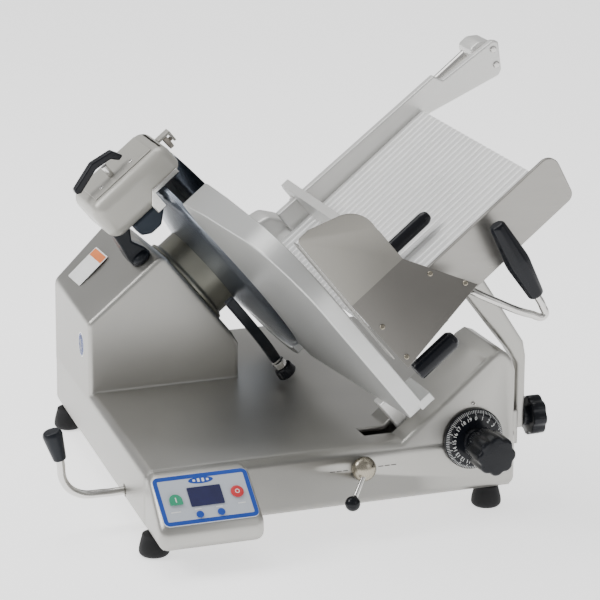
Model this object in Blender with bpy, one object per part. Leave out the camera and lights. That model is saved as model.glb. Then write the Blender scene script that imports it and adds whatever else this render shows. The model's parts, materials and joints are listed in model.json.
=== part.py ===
"""A 330 mm gravity-feed deli slicer with a powered carriage, in metres, +Z up.

X runs to the operator's right and Y away from the operator. The food chute climbs along S,
TILT above the horizontal, and the knife spins about S. N is square to the chute floor.
"""
import math

import bmesh
import bpy
from mathutils import Matrix, Vector

# Driving dimensions
TILT = math.radians(39.0)  # the chute's climb, and the knife's lean from upright
GAP = 0.0003
WALL = 0.006
STEP = 0.0006
BASE_Z = 0.030
DECK_Z = 0.110
BASE_BACK_Y = 0.545
BASE_LEFT_X = -0.246
BASE_RIGHT_X = 0.268
SIDE_SKEW = 0.087
FOOT_RADIUS = 0.020
FOOT_TOP_RADIUS = 0.0155
FOOT_INSET = 0.011
BOX_FRONT_Y = -0.078
BOX_RIGHT_X = -0.112
BOX_LIP_Z = 0.060
PANEL_MARGIN = 0.007
PANEL_THICK = 0.0016
BUTTON_RADIUS = 0.0085
BUTTON_TRAVEL = 0.001
PEDESTAL_FRONT_Y = 0.326
PEDESTAL_SHOULDER_Z = 0.209
PEDESTAL_SLOPE_S = 0.101
PEDESTAL_PEAK_N = 0.299
PEDESTAL_RIGHT_X = -0.002
WEDGE_LEFT_X = 0.107
WEDGE_RISE = 0.109 / 0.128
WEDGE_RIGHT_X = BASE_RIGHT_X - 0.004
WEDGE_TOP_Z = DECK_Z + WEDGE_RISE * (WEDGE_RIGHT_X - 0.029 - WEDGE_LEFT_X)
WEDGE_DEPTH = 0.120
KNIFE_RADIUS = 0.165
KNIFE_S = 0.203
KNIFE_Y = 0.400
KNIFE_N = 0.213
KNIFE_DISH = 0.013
BLADE_THICK = 0.004
HUB_RADIUS = 0.062
HUB_END_S = 0.140
SHAFT_RADIUS = 0.015
BEARING_RADIUS = 0.022
BEARING_WIDTH = 0.012
KNIFE_PULLEY_RADIUS = 0.034
MOTOR_PULLEY_RADIUS = 0.020
PULLEY_WIDTH = 0.020
PULLEY_S = 0.062
MOTOR_RADIUS = 0.042
MOTOR_LENGTH = 0.085
MOTOR_N = 0.150
BELT_THICK = 0.003
RING_CLEARANCE = 0.0013
RING_THICK = 0.012
GAUGE_FACE_S = 0.199
GAUGE_NEAR_Y = -0.045
GAUGE_TOP_N = 0.372
GAUGE_BOTTOM_N = 0.058
GAUGE_THICK_NEAR = 0.024
GAUGE_THICK_KNIFE = 0.042
SLIDE_ROD_RADIUS = 0.008
SLIDE_ROD_N = -0.025
SLIDE_ROD_Y = 0.056
DIAL_X = 0.203
DIAL_Z = 0.105
DIAL_RADIUS = 0.041
INDEX_KNOB_RADIUS = 0.027
CARRIAGE_Y = 0.050
CARRIAGE_TRAVEL = 0.280
CARRIAGE_ROD_Z = 0.072
CARRIAGE_ROD_X = BASE_RIGHT_X - 0.032
CARRIAGE_ROD_RADIUS = 0.010
ARM_X = BASE_RIGHT_X + 0.014
ARM_THICK = 0.013
ARM_PIVOT_Z = 0.108
ARM_LOW_Z = 0.096
CHUTE_KNIFE_S = 0.207
CHUTE_TOP_S = 0.492
CHUTE_NEAR_Y = -0.062
CHUTE_FAR_Y = 0.297
FLOOR_N = 0.210
FLOOR_THICK = 0.005
RIDGES = 26
RIDGE_HEIGHT = 0.0022
PUSHER_ROD_Y = 0.341
PUSHER_ROD_N = 0.206
PUSHER_ROD_RADIUS = 0.007
PUSHER_S = 0.281
GRIP_RADIUS = 0.0165
HOUSING_S = (0.064, 0.176)
HOUSING_Y = (0.336, 0.440)
HOUSING_N = (0.372, 0.412)
STONE_RADIUS = 0.021
FRONT_WALL_Y = 0.0

S = Vector((math.cos(TILT), 0.0, math.sin(TILT)))
N = Vector((-math.sin(TILT), 0.0, math.cos(TILT)))
Y = Vector((0.0, 1.0, 0.0))
X = Vector((1.0, 0.0, 0.0))
Z = Vector((0.0, 0.0, 1.0))

MATERIALS = {
    "cast": ((0.62, 0.61, 0.59), 0.38, 0.9),
    "bright": ((0.78, 0.78, 0.77), 0.25, 1.0),
    "blade": ((0.60, 0.62, 0.66), 0.15, 1.0),
    "sheet": ((0.70, 0.70, 0.68), 0.30, 1.0),
    "dark": ((0.12, 0.13, 0.15), 0.35, 0.8),
    "black": ((0.02, 0.02, 0.02), 0.40, 0.0),
    "rubber": ((0.015, 0.015, 0.015), 0.80, 0.0),
    "panel": ((0.75, 0.77, 0.80), 0.35, 0.0),
    "display": ((0.02, 0.02, 0.10), 0.10, 0.0),
    "green": ((0.02, 0.35, 0.16), 0.40, 0.0),
    "red": ((0.65, 0.03, 0.04), 0.40, 0.0),
    "blue": ((0.03, 0.08, 0.45), 0.40, 0.0),
    "stone": ((0.45, 0.42, 0.38), 0.90, 0.0),
}


def place(s, y, n):
    """The point at s along the chute, y from the front wall and n off the chute's base plane."""
    return S * s + Y * y + N * n


def frame(origin, x_axis, y_axis):
    """A matrix whose local X and Y lie along the two axes given."""
    z_axis = x_axis.cross(y_axis)
    rows = Matrix((x_axis, y_axis, z_axis)).transposed().to_4x4()
    rows.translation = origin
    return rows


def material(name):
    found = bpy.data.materials.get(name)
    if found:
        return found
    made = bpy.data.materials.new(name)
    made.use_nodes = True
    colour, roughness, metallic = MATERIALS[name]
    shader = made.node_tree.nodes["Principled BSDF"]
    shader.inputs["Base Color"].default_value = (*colour, 1.0)
    shader.inputs["Roughness"].default_value = roughness
    shader.inputs["Metallic"].default_value = metallic
    return made


def finish(name, bm, matrix, finish_name, smooth=35.0):
    """An object of the mesh, with outward faces and one material."""
    bm.transform(matrix)
    bmesh.ops.recalc_face_normals(bm, faces=bm.faces)
    if bm.calc_volume(signed=True) < 0.0:
        bmesh.ops.reverse_faces(bm, faces=bm.faces)
    mesh = bpy.data.meshes.new(name)
    bm.to_mesh(mesh)
    bm.free()
    mesh.shade_smooth()
    mesh.set_sharp_from_angle(angle=math.radians(smooth))
    mesh.materials.append(material(finish_name))
    made = bpy.data.objects.new(name, mesh)
    bpy.context.scene.collection.objects.link(made)
    return made


def prism(name, outline, depth, matrix, finish_name):
    """The closed outline in local XY, drawn out along local Z."""
    bm = bmesh.new()
    corners = [bm.verts.new((x, y, 0.0)) for x, y in outline]
    face = bm.faces.new(corners)
    drawn = bmesh.ops.extrude_face_region(bm, geom=[face])
    moved = [v for v in drawn["geom"] if isinstance(v, bmesh.types.BMVert)]
    bmesh.ops.translate(bm, verts=moved, vec=(0.0, 0.0, depth))
    return finish(name, bm, matrix, finish_name)


def across(name, outline, low, high, finish_name):
    """An outline in X and Z, drawn from y = low to y = high."""
    return prism(name, outline, high - low, frame(Y * high, X, Z), finish_name)


def across_chute(name, outline, low, high, finish_name):
    """An outline in S and N, drawn from y = low to y = high."""
    return prism(name, outline, high - low, frame(Y * high, S, N), finish_name)


def along_s(name, outline, low, high, finish_name):
    """An outline in Y and N, drawn from s = low to s = high."""
    return prism(name, outline, high - low, frame(S * low, Y, N), finish_name)


def block(name, low, high, finish_name, matrix=None):
    """A box between two corners of a frame."""
    outline = [(low[0], low[1]), (high[0], low[1]), (high[0], high[1]), (low[0], high[1])]
    lift = Matrix.Translation((0.0, 0.0, low[2]))
    return prism(name, outline, high[2] - low[2], (matrix or Matrix()) @ lift, finish_name)


def turned(name, profile, origin, axis, finish_name, segments=32):
    """A closed profile of (radius, distance) pairs turned about the axis."""
    up = axis.normalized()
    side = up.orthogonal().normalized()
    bm = bmesh.new()
    rings = []
    for radius, height in profile:
        if radius < 1e-6:
            rings.append([bm.verts.new((0.0, 0.0, height))])
            continue
        ring = []
        for i in range(segments):
            turn = 2.0 * math.pi * i / segments
            ring.append(bm.verts.new((radius * math.cos(turn), radius * math.sin(turn), height)))
        rings.append(ring)
    for first, second in zip(rings, rings[1:] + rings[:1]):
        for i in range(segments):
            j = (i + 1) % segments
            loop = [first[i % len(first)], first[j % len(first)]]
            loop += [second[j % len(second)], second[i % len(second)]]
            corners = list(dict.fromkeys(loop))
            if len(corners) > 2:
                bm.faces.new(corners)
    return finish(name, bm, frame(origin, side, up.cross(side)), finish_name)


def rod(name, start, end, radius, finish_name, segments=24):
    length = (end - start).length
    profile = [(0.0, 0.0), (radius, 0.0), (radius, length), (0.0, length)]
    return turned(name, profile, start, end - start, finish_name, segments)


def sleeve(name, start, end, outer, inner, finish_name, segments=32):
    length = (end - start).length
    profile = [(inner, 0.0), (outer, 0.0), (outer, length), (inner, length)]
    return turned(name, profile, start, end - start, finish_name, segments)


def bent_rod(name, points, radius, finish_name):
    """A round bar along a smooth curve through the points."""
    curve = bpy.data.curves.new(name, "CURVE")
    curve.dimensions = "3D"
    curve.bevel_depth = radius
    curve.bevel_resolution = 3
    curve.use_fill_caps = True
    curve.resolution_u = 6
    spline = curve.splines.new("BEZIER")
    spline.bezier_points.add(len(points) - 1)
    for spot, point in zip(spline.bezier_points, points):
        spot.co = point
        spot.handle_left_type = "AUTO"
        spot.handle_right_type = "AUTO"
    curve.materials.append(material(finish_name))
    made = bpy.data.objects.new(name, curve)
    bpy.context.scene.collection.objects.link(made)
    return made


def bevel(target, width, segments=3, angle=30.0):
    change = target.modifiers.new("Bevel", "BEVEL")
    change.width = width
    change.segments = segments
    change.limit_method = "ANGLE"
    change.angle_limit = math.radians(angle)
    change.use_clamp_overlap = True


def combine(target, other, operation):
    """A Boolean of the target with another object, which is then only a guide."""
    change = target.modifiers.new(operation.title(), "BOOLEAN")
    change.operation = operation
    change.solver = "EXACT"
    change.object = other
    other.hide_render = True
    other.display_type = "WIRE"


def fluted(name, origin, axis, radius, length, finish_name, lobes=8, depth=0.10):
    """A hand knob with rounded lobes and a chamfered face."""
    up = axis.normalized()
    side = Z if abs(up.dot(Z)) < 0.9 else X
    side = (side - up * side.dot(up)).normalized()
    steps = lobes * 6
    outline = []
    for i in range(steps):
        turn = 2.0 * math.pi * i / steps
        reach = radius * (1.0 - depth * (0.5 - 0.5 * math.cos(lobes * turn)) ** 2)
        outline.append((reach * math.cos(turn), reach * math.sin(turn)))
    made = prism(name, outline, length, frame(origin, side, up.cross(side)), finish_name)
    bevel(made, radius * 0.09, 2, 60.0)
    return made


def arc(centre, radius, start, end, steps):
    """Points on a circle, from one angle to another in degrees."""
    points = []
    for i in range(steps + 1):
        turn = math.radians(start + (end - start) * i / steps)
        points.append((centre[0] + radius * math.cos(turn), centre[1] + radius * math.sin(turn)))
    return points


def side_x(y):
    """The base's left edge, which leans in towards the back."""
    return BASE_LEFT_X + SIDE_SKEW * y


# Base


def base_outline(inset):
    back = BASE_BACK_Y - inset
    front = FRONT_WALL_Y + inset
    return [
        (side_x(front) + inset, front),
        (BASE_RIGHT_X - inset, front),
        (BASE_RIGHT_X - inset, back),
        (side_x(back) + inset, back),
    ]


def pedestal_outline(inset, y):
    """The motor housing seen from the front, at a distance y from the front wall."""
    low = DECK_Z - 0.02
    left = side_x(y) + inset + STEP
    slope = PEDESTAL_SLOPE_S - inset
    peak = place(slope, 0.0, PEDESTAL_PEAK_N - inset - 0.008)
    roof = place(slope - 0.008, 0.0, PEDESTAL_PEAK_N - inset)
    foot = place(slope, 0.0, 0.177)
    right = PEDESTAL_RIGHT_X - inset
    return [
        (left, low),
        (right, low),
        (right, 0.158 - inset * 0.5),
        (right - 0.009, 0.174 - inset * 0.5),
        (foot.x, foot.z),
        (peak.x, peak.z),
        (roof.x, roof.z),
        (left, PEDESTAL_SHOULDER_Z - inset * 0.6),
    ]


def loft(name, first, second, finish_name):
    """A solid between two outlines of points with as many corners."""
    bm = bmesh.new()
    front = [bm.verts.new(p) for p in first]
    back = [bm.verts.new(p) for p in second]
    bm.faces.new(front)
    bm.faces.new(back[::-1])
    count = len(front)
    for i in range(count):
        j = (i + 1) % count
        bm.faces.new((front[i], front[j], back[j], back[i]))
    return finish(name, bm, Matrix(), finish_name)


def pedestal(name, inset):
    low, high = PEDESTAL_FRONT_Y + inset, BASE_BACK_Y - inset - STEP
    front = [Vector((x, low, z)) for x, z in pedestal_outline(inset, low)]
    back = [Vector((x, high, z)) for x, z in pedestal_outline(inset, high)]
    return loft(name, front, back, "cast")


def wedge(name, inset):
    top = WEDGE_TOP_Z - inset
    right = WEDGE_RIGHT_X - inset
    left = WEDGE_LEFT_X + inset * 1.6
    drop = 0.02
    outline = [
        (left - drop / WEDGE_RISE, DECK_Z - drop),
        (right, DECK_Z - drop),
        (right, top - 0.030),
        (right - 0.004, top - 0.015),
        (right - 0.013, top - 0.004),
        (right - 0.024, top),
        (right - 0.035, top - 0.006),
    ]
    front = FRONT_WALL_Y + inset + STEP
    return across(name, outline, front, FRONT_WALL_Y + WEDGE_DEPTH - inset, "cast")


def panel_tilt():
    """The control panel's slope: from the lip at the box's front up to the deck."""
    return math.atan2(DECK_Z + 0.002 - BOX_LIP_Z, FRONT_WALL_Y - 0.014 - BOX_FRONT_Y)


def panel_box(name, inset):
    """The control box, whose left side runs on from the base's."""
    floor = BASE_Z - (0.010 if inset else 0.0)
    back = FRONT_WALL_Y + (0.030 if inset else 0.020)
    outline = [
        (BOX_FRONT_Y + inset, floor),
        (back, floor),
        (back, DECK_Z - inset - STEP),
        (FRONT_WALL_Y - 0.014, DECK_Z - inset - STEP),
        (BOX_FRONT_Y + inset, BOX_LIP_Z - inset * 0.4),
    ]
    left = [Vector((side_x(y) + inset + STEP, y, z)) for y, z in outline]
    right = [Vector((BOX_RIGHT_X - inset, y, z)) for y, z in outline]
    return loft(name, left, right, "cast")


def base_casting():
    plate = frame(Z * BASE_Z, X, Y)
    base = prism("base_casting", base_outline(0.0), DECK_Z - BASE_Z, plate, "cast")
    bevel(base, 0.012)
    tower = pedestal("guide_pedestal", 0.0)
    bevel(tower, 0.010)
    hill = wedge("guide_wedge", 0.0)
    bevel(hill, 0.006, 2, 50.0)
    box = panel_box("guide_box", 0.0)
    bevel(box, 0.012)
    for extra in (tower, hill, box):
        combine(base, extra, "UNION")
    hollow = frame(Z * (BASE_Z - 0.01), X, Y)
    tray = prism("cut_tray", base_outline(WALL), DECK_Z - WALL - BASE_Z + 0.01, hollow, "cast")
    for inner in (tray, pedestal("cut_pedestal", WALL), wedge("cut_wedge", WALL), panel_box("cut_box", WALL)):
        combine(base, inner, "DIFFERENCE")
    for opening in base_openings():
        combine(base, opening, "DIFFERENCE")
    return base


def base_openings():
    """Holes for the shafts, levers and slides that pass through the shell."""
    shaft_start = place(PEDESTAL_SLOPE_S - 0.02, KNIFE_Y, KNIFE_N)
    shaft_end = place(PEDESTAL_SLOPE_S + 0.02, KNIFE_Y, KNIFE_N)
    hole = rod("cut_shaft", shaft_start, shaft_end, SHAFT_RADIUS + 0.006, "cast")
    slot_low = (0.122, SLIDE_ROD_Y - 0.015, -0.012)
    slot_high = (0.214, SLIDE_ROD_Y + 0.015, 0.070)
    gauge_slot = block("cut_gauge_slot", slot_low, slot_high, "cast", frame(Vector(), S, Y))
    reach = CARRIAGE_Y + CARRIAGE_TRAVEL + 0.022
    low = (BASE_RIGHT_X - 0.018, CARRIAGE_Y - 0.024, 0.074)
    side_slot = block("cut_side_slot", low, (BASE_RIGHT_X + 0.022, reach, 0.100), "cast")
    index = rod("cut_index", Vector((DIAL_X, -0.02, DIAL_Z)), Vector((DIAL_X, 0.02, DIAL_Z)), 0.0065, "cast")
    lift = rod("cut_lift", LIFT_START - X * 0.05, LIFT_START + X * 0.02, 0.009, "cast")
    inlet = rod("cut_inlet", INLET - Y * 0.025, INLET + Y * 0.015, 0.0105, "cast")
    selector = rod("cut_selector", SELECTOR - Y * 0.02, SELECTOR + Y * 0.02, 0.0065, "cast")
    return [hole, gauge_slot, side_slot, index, lift, inlet, selector]


LIFT_START = Vector((-0.236, 0.118, 0.046))
SELECTOR = Vector((0.050, FRONT_WALL_Y, 0.081))
INLET = Vector((0.1, BASE_BACK_Y, 0.06))


def bottom_cover():
    low = BASE_Z + 0.001
    plate = frame(Z * low, X, Y)
    return prism("bottom_cover", base_outline(WALL + 0.001), 0.003, plate, "sheet")


def feet():
    back = BASE_BACK_Y - 0.035
    spots = {
        "foot_front_left": (side_x(0.0) + FOOT_INSET, 0.0),
        "foot_front_right": (BASE_RIGHT_X - 0.033, 0.022),
        "foot_back_left": (side_x(back) + FOOT_INSET, back),
        "foot_back_right": (BASE_RIGHT_X - 0.033, back),
    }
    height = BASE_Z - GAP
    profile = [
        (0.0, 0.0),
        (FOOT_RADIUS - 0.003, 0.0),
        (FOOT_RADIUS, 0.004),
        (FOOT_TOP_RADIUS, height),
        (0.0, height),
    ]
    for name, (x, y) in spots.items():
        turned(name, profile, Vector((x, y, 0.0)), Z, "rubber")


# Control panel


def panel_frame(lift=0.0):
    """Local X along the panel, local Y up its slope and local Z out of it."""
    tilt = panel_tilt()
    up = Vector((0.0, math.cos(tilt), math.sin(tilt)))
    out = X.cross(up)
    origin = Vector((side_x(BOX_FRONT_Y), BOX_FRONT_Y, BOX_LIP_Z)) + out * lift
    return frame(origin, X, up)


def panel_size():
    width = BOX_RIGHT_X - side_x(BOX_FRONT_Y)
    rise = math.hypot(DECK_Z - BOX_LIP_Z, FRONT_WALL_Y - 0.014 - BOX_FRONT_Y)
    return width, rise


def control_panel():
    width, rise = panel_size()
    low = (PANEL_MARGIN, PANEL_MARGIN * 0.7, 0.0)
    high = (width - PANEL_MARGIN, rise - PANEL_MARGIN * 0.6, PANEL_THICK)
    sheet = block("control_panel", low, high, "panel", panel_frame(GAP))
    buttons = {
        "start_button": (0.190, 0.50, "green", BUTTON_RADIUS),
        "stop_button": (0.815, 0.53, "red", BUTTON_RADIUS),
        "down_button": (0.40, 0.19, "blue", BUTTON_RADIUS * 0.66),
        "up_button": (0.60, 0.19, "blue", BUTTON_RADIUS * 0.66),
    }
    for name, (along, up, colour, radius) in buttons.items():
        spot = Vector((width * along, rise * up, 0.0))
        matrix = panel_frame(PANEL_THICK + GAP + BUTTON_TRAVEL + 0.0002)
        start = matrix @ spot
        out = matrix.to_3x3() @ Z
        rod(name, start, start + out * 0.0012, radius, colour)
    low = (width * 0.345, rise * 0.37, 0.0)
    high = (width * 0.66, rise * 0.70, 0.0008)
    block("display_window", low, high, "display", panel_frame(PANEL_THICK + 2 * GAP))
    return sheet


# Knife and its drive


def knife_point(s, radius=0.0, turn=0.0):
    """A point round the knife's axis; turn 0 faces the operator and 90 degrees is up the chute."""
    angle = math.radians(turn)
    y = KNIFE_Y - radius * math.cos(angle)
    return place(s, y, KNIFE_N + radius * math.sin(angle))


def knife_disc():
    hub = SHAFT_RADIUS + 0.010
    back = -BLADE_THICK
    profile = [
        (hub, -KNIFE_DISH + back),
        (KNIFE_RADIUS * 0.72, -KNIFE_DISH + back),
        (KNIFE_RADIUS * 0.93, back - 0.0015),
        (KNIFE_RADIUS, -0.0006),
        (KNIFE_RADIUS, 0.0),
        (KNIFE_RADIUS * 0.94, -0.001),
        (KNIFE_RADIUS * 0.74, -KNIFE_DISH),
        (hub, -KNIFE_DISH),
    ]
    turned("knife", profile, knife_point(KNIFE_S), S, "blade", 72)


def knife_parts():
    knife_disc()
    seat = KNIFE_S - KNIFE_DISH - BLADE_THICK
    profile = [
        (0.0, 0.040),
        (SHAFT_RADIUS, 0.040),
        (SHAFT_RADIUS, HUB_END_S + 0.004),
        (0.040, HUB_END_S + 0.012),
        (0.040, seat - GAP),
        (SHAFT_RADIUS + 0.0097, seat - GAP),
        (SHAFT_RADIUS + 0.0097, seat + BLADE_THICK),
        (0.0, seat + BLADE_THICK),
    ]
    turned("knife_shaft", profile, knife_point(0.0), S, "bright")
    cap = KNIFE_RADIUS * 0.71
    front = seat + BLADE_THICK + GAP
    profile = [(0.0, front), (cap, front), (cap, front + 0.004), (cap * 0.9, front + 0.008), (0.0, front + 0.011)]
    turned("knife_cap", profile, knife_point(0.0), S, "bright", 48)
    start = knife_point(PEDESTAL_SLOPE_S + GAP)
    length = HUB_END_S - PEDESTAL_SLOPE_S - GAP
    bore = BEARING_RADIUS + GAP
    profile = [
        (bore, 0.0),
        (HUB_RADIUS + 0.006, 0.0),
        (HUB_RADIUS + 0.006, 0.005),
        (HUB_RADIUS, 0.008),
        (HUB_RADIUS, length),
        (bore, length),
    ]
    turned("knife_housing", profile, start, S, "cast", 40)
    first = PEDESTAL_SLOPE_S + 0.003
    second = HUB_END_S - 0.001 - BEARING_WIDTH
    for name, s in (("rear_bearing", first), ("front_bearing", second)):
        inner = SHAFT_RADIUS + GAP
        sleeve(name, knife_point(s), knife_point(s + BEARING_WIDTH), BEARING_RADIUS, inner, "bright")


def belt_outline(grow):
    """Round both pulleys: the tangent lines and arcs of a two-pulley belt."""
    span = KNIFE_N - MOTOR_N
    large, small = KNIFE_PULLEY_RADIUS + grow, MOTOR_PULLEY_RADIUS + grow
    lean = math.degrees(math.asin((KNIFE_PULLEY_RADIUS - MOTOR_PULLEY_RADIUS) / span))
    top = arc((KNIFE_Y, KNIFE_N), large, -lean, 180.0 + lean, 20)
    bottom = arc((KNIFE_Y, MOTOR_N), small, 180.0 + lean, 360.0 - lean, 16)
    return top + bottom


def knife_drive():
    width = PULLEY_WIDTH
    bore = SHAFT_RADIUS + GAP
    start = knife_point(PULLEY_S)
    sleeve("knife_pulley", start, start + S * width, KNIFE_PULLEY_RADIUS, bore, "bright", 48)
    low = place(PULLEY_S, KNIFE_Y, MOTOR_N)
    spindle = 0.008
    sleeve("motor_pulley", low, low + S * width, MOTOR_PULLEY_RADIUS, spindle + GAP, "bright")
    body = place(PULLEY_S - 0.014 - MOTOR_LENGTH, KNIFE_Y, MOTOR_N)
    profile = [
        (0.0, 0.0),
        (MOTOR_RADIUS, 0.0),
        (MOTOR_RADIUS, MOTOR_LENGTH),
        (spindle, MOTOR_LENGTH),
        (spindle, MOTOR_LENGTH + 0.014 + width),
        (0.0, MOTOR_LENGTH + 0.014 + width),
    ]
    turned("knife_motor", profile, body, S, "dark")
    outer, inner = belt_outline(GAP + BELT_THICK), belt_outline(GAP)
    band = along_s("drive_belt", outer, PULLEY_S + 0.003, PULLEY_S + width - 0.003, "rubber")
    combine(band, along_s("cut_belt", inner, PULLEY_S, PULLEY_S + width, "rubber"), "DIFFERENCE")


def ring_sector(name, inner, outer, start, end, low, high, finish_name, steps=48):
    """Part of a ring round the knife, between two turns in degrees."""
    points = []
    for radius, first, last in ((outer, start, end), (inner, end, start)):
        for i in range(steps + 1):
            turn = math.radians(first + (last - first) * i / steps)
            points.append((KNIFE_Y - radius * math.cos(turn), KNIFE_N + radius * math.sin(turn)))
    return along_s(name, points, low, high, finish_name)


def knife_guards():
    """The fixed dish behind the knife, the ring round it and the strip that lifts slices off."""
    rim = KNIFE_RADIUS + 0.001
    start = HUB_RADIUS + GAP
    profile = [
        (start, HUB_END_S - 0.004),
        (rim - 0.004, 0.1555),
        (rim, 0.158),
        (rim, 0.163),
        (rim - 0.004, 0.160),
        (start, HUB_END_S),
    ]
    turned("back_dish", profile, knife_point(0.0), S, "dark", 72)
    inner = KNIFE_RADIUS + RING_CLEARANCE
    outer = inner + RING_THICK
    ring_sector("ring_guard", inner, outer, 118.0, 296.0, 0.150, GAUGE_FACE_S - 0.0005, "cast", 40)
    middle = KNIFE_RADIUS + 0.001
    low, high = 0.112, 0.126
    strip = ring_sector("slice_deflector", middle - 0.006, middle + 0.006, -48.0, 5.0, low, high, "black", 16)
    bevel(strip, 0.002, 1, 60.0)
    foot = knife_point(0.5 * (low + high), middle, -47.0)
    length = 0.026
    profile = [
        (0.0, 0.0),
        (0.012, 0.0),
        (0.0145, 0.003),
        (0.0125, 0.015),
        (0.009, 0.016),
        (0.009, length),
        (0.0, length),
    ]
    turned("deflector_knob", profile, foot - N * (length + 0.0070), N, "black", 20)


# Thickness gauge


def gauge_outline():
    """The plate in Y and N: a round near edge and a hollow that clears the knife."""
    clear = KNIFE_RADIUS + 0.0045
    near, top, low = GAUGE_NEAR_Y, GAUGE_TOP_N, GAUGE_BOTTOM_N
    points = [(near + 0.010, low), (0.270, low + 0.004)]
    for turn in range(-50, 41, 6):
        angle = math.radians(turn)
        points.append((KNIFE_Y - clear * math.cos(angle), KNIFE_N + clear * math.sin(angle)))
    points += [(0.262, 0.340), (0.250, top - 0.004), (0.235, top)]
    points += [(0.160, top + 0.001), (0.090, top - 0.006)]
    points += arc((0.065, top - 0.118), 0.110, 90.0, 180.0, 8)
    points += [(near, low + 0.012), (near + 0.003, low + 0.004)]
    return points


def gauge_back(y):
    """How far back the casting reaches: thicker towards the knife."""
    share = (y - GAUGE_NEAR_Y) / (KNIFE_Y - KNIFE_RADIUS - GAUGE_NEAR_Y)
    return GAUGE_FACE_S - GAUGE_THICK_NEAR - (GAUGE_THICK_KNIFE - GAUGE_THICK_NEAR) * min(share, 1.0)


def gauge():
    outline = gauge_outline()
    face = [place(GAUGE_FACE_S, y, n) for y, n in outline]
    back = [place(gauge_back(y), y, n) for y, n in outline]
    plate = loft("gauge_plate", face, back, "bright")
    for first, last in ((-0.034, 0.034), (0.086, 0.232)):
        low = (gauge_back(first) + 0.005, first, GAUGE_BOTTOM_N - 0.02)
        high = (GAUGE_FACE_S - 0.006, last, 0.290)
        combine(plate, block("cut_pocket", low, high, "bright", frame(Vector(), S, Y)), "DIFFERENCE")
    mid = SLIDE_ROD_Y
    low = SLIDE_ROD_N - 0.014
    arm = [(0.163, low), (0.190, low), (0.190, GAUGE_BOTTOM_N - GAP), (0.163, GAUGE_BOTTOM_N - GAP)]
    bracket = across_chute("gauge_bracket", arm, mid - 0.012, mid + 0.012, "cast")
    hole_start, hole_end = place(0.15, mid, SLIDE_ROD_N), place(0.21, mid, SLIDE_ROD_N)
    combine(bracket, rod("cut_bracket", hole_start, hole_end, SLIDE_ROD_RADIUS + GAP, "cast"), "DIFFERENCE")
    inner_x = WEDGE_RIGHT_X - WALL - 0.001
    top = (inner_x + (SLIDE_ROD_N - SLIDE_ROD_RADIUS) * math.sin(TILT)) / math.cos(TILT)
    rod("gauge_slide_rod", place(0.0960, mid, SLIDE_ROD_N), place(top, mid, SLIDE_ROD_N), SLIDE_ROD_RADIUS, "bright")


def index_control():
    centre = Vector((DIAL_X, FRONT_WALL_Y, DIAL_Z))
    profile = [
        (0.0, -0.030),
        (0.006, -0.030),
        (0.006, 0.012),
        (0.026, 0.012),
        (0.026, 0.020),
        (0.0, 0.020),
    ]
    turned("index_shaft", profile, centre, Y, "bright")
    dial = DIAL_RADIUS
    profile = [
        (0.0063, -0.003),
        (dial, -0.003),
        (dial, -0.006),
        (dial - 0.007, -0.011),
        (0.0063, -0.011),
    ]
    turned("dial_disc", profile, centre, Y, "black", 48)
    knob = fluted("index_knob", centre - Y * 0.036, -Y, INDEX_KNOB_RADIUS, 0.046, "black")
    neck = rod("guide_neck", centre - Y * 0.0113, centre - Y * 0.04, 0.015, "black")
    combine(knob, neck, "UNION")
    bore = rod("cut_knob", centre, centre - Y * 0.0303, 0.0063, "black")
    combine(knob, bore, "DIFFERENCE")


# Carriage and chute


def carriage():
    start = Vector((CARRIAGE_ROD_X, 0.008, CARRIAGE_ROD_Z))
    end = Vector((CARRIAGE_ROD_X, BASE_BACK_Y - WALL - 0.001, CARRIAGE_ROD_Z))
    rod("carriage_rod", start, end, CARRIAGE_ROD_RADIUS, "bright")
    low, high = CARRIAGE_Y - 0.020, CARRIAGE_Y + 0.020
    truck = block("carriage_truck", (CARRIAGE_ROD_X - 0.018, low, 0.054), (BASE_RIGHT_X - 0.012, high, 0.094), "cast")
    lug_start = BASE_RIGHT_X - 0.018
    lug = block("guide_lug", (lug_start, low + 0.004, 0.078), (ARM_X - 0.004, high - 0.004, 0.096), "cast")
    plate = block("guide_plate", (ARM_X - 0.0105, low, 0.078), (ARM_X - GAP, high, 0.124), "cast")
    combine(truck, lug, "UNION")
    combine(truck, plate, "UNION")
    clear = CARRIAGE_ROD_RADIUS + GAP
    bore = rod("cut_truck", start - Y * 0.02 + Y * low, start + Y * (high + 0.02), clear, "cast")
    combine(truck, bore, "DIFFERENCE")
    chute_arm()
    pivot = Vector((ARM_X + ARM_THICK + GAP, CARRIAGE_Y, ARM_PIVOT_Z))
    knob = fluted("arm_knob", pivot + X * 0.008, X, 0.027, 0.020, "black")
    combine(knob, rod("guide_collar", pivot, pivot + X * 0.012, 0.013, "black"), "UNION")


def chute_arm():
    """A bent arm: upright beside the base, then leaning back under the chute floor."""
    left, right = ARM_X, ARM_X + ARM_THICK
    bend = WEDGE_TOP_Z - 0.033
    under = FLOOR_N - FLOOR_THICK - GAP
    head_low = place(0.345, 0.0, under)
    head_high = place(0.385, 0.0, under)
    outline = [
        (left, ARM_LOW_Z),
        (right, ARM_LOW_Z),
        (right, bend + 0.010),
        (right - 0.004, bend + 0.030),
        (head_high.x, head_high.z),
        (head_low.x, head_low.z),
        (left - 0.012, bend + 0.020),
        (left, bend),
    ]
    arm = across("chute_arm", outline, CARRIAGE_Y - 0.013, CARRIAGE_Y + 0.013, "cast")
    bevel(arm, 0.003, 2)


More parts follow.
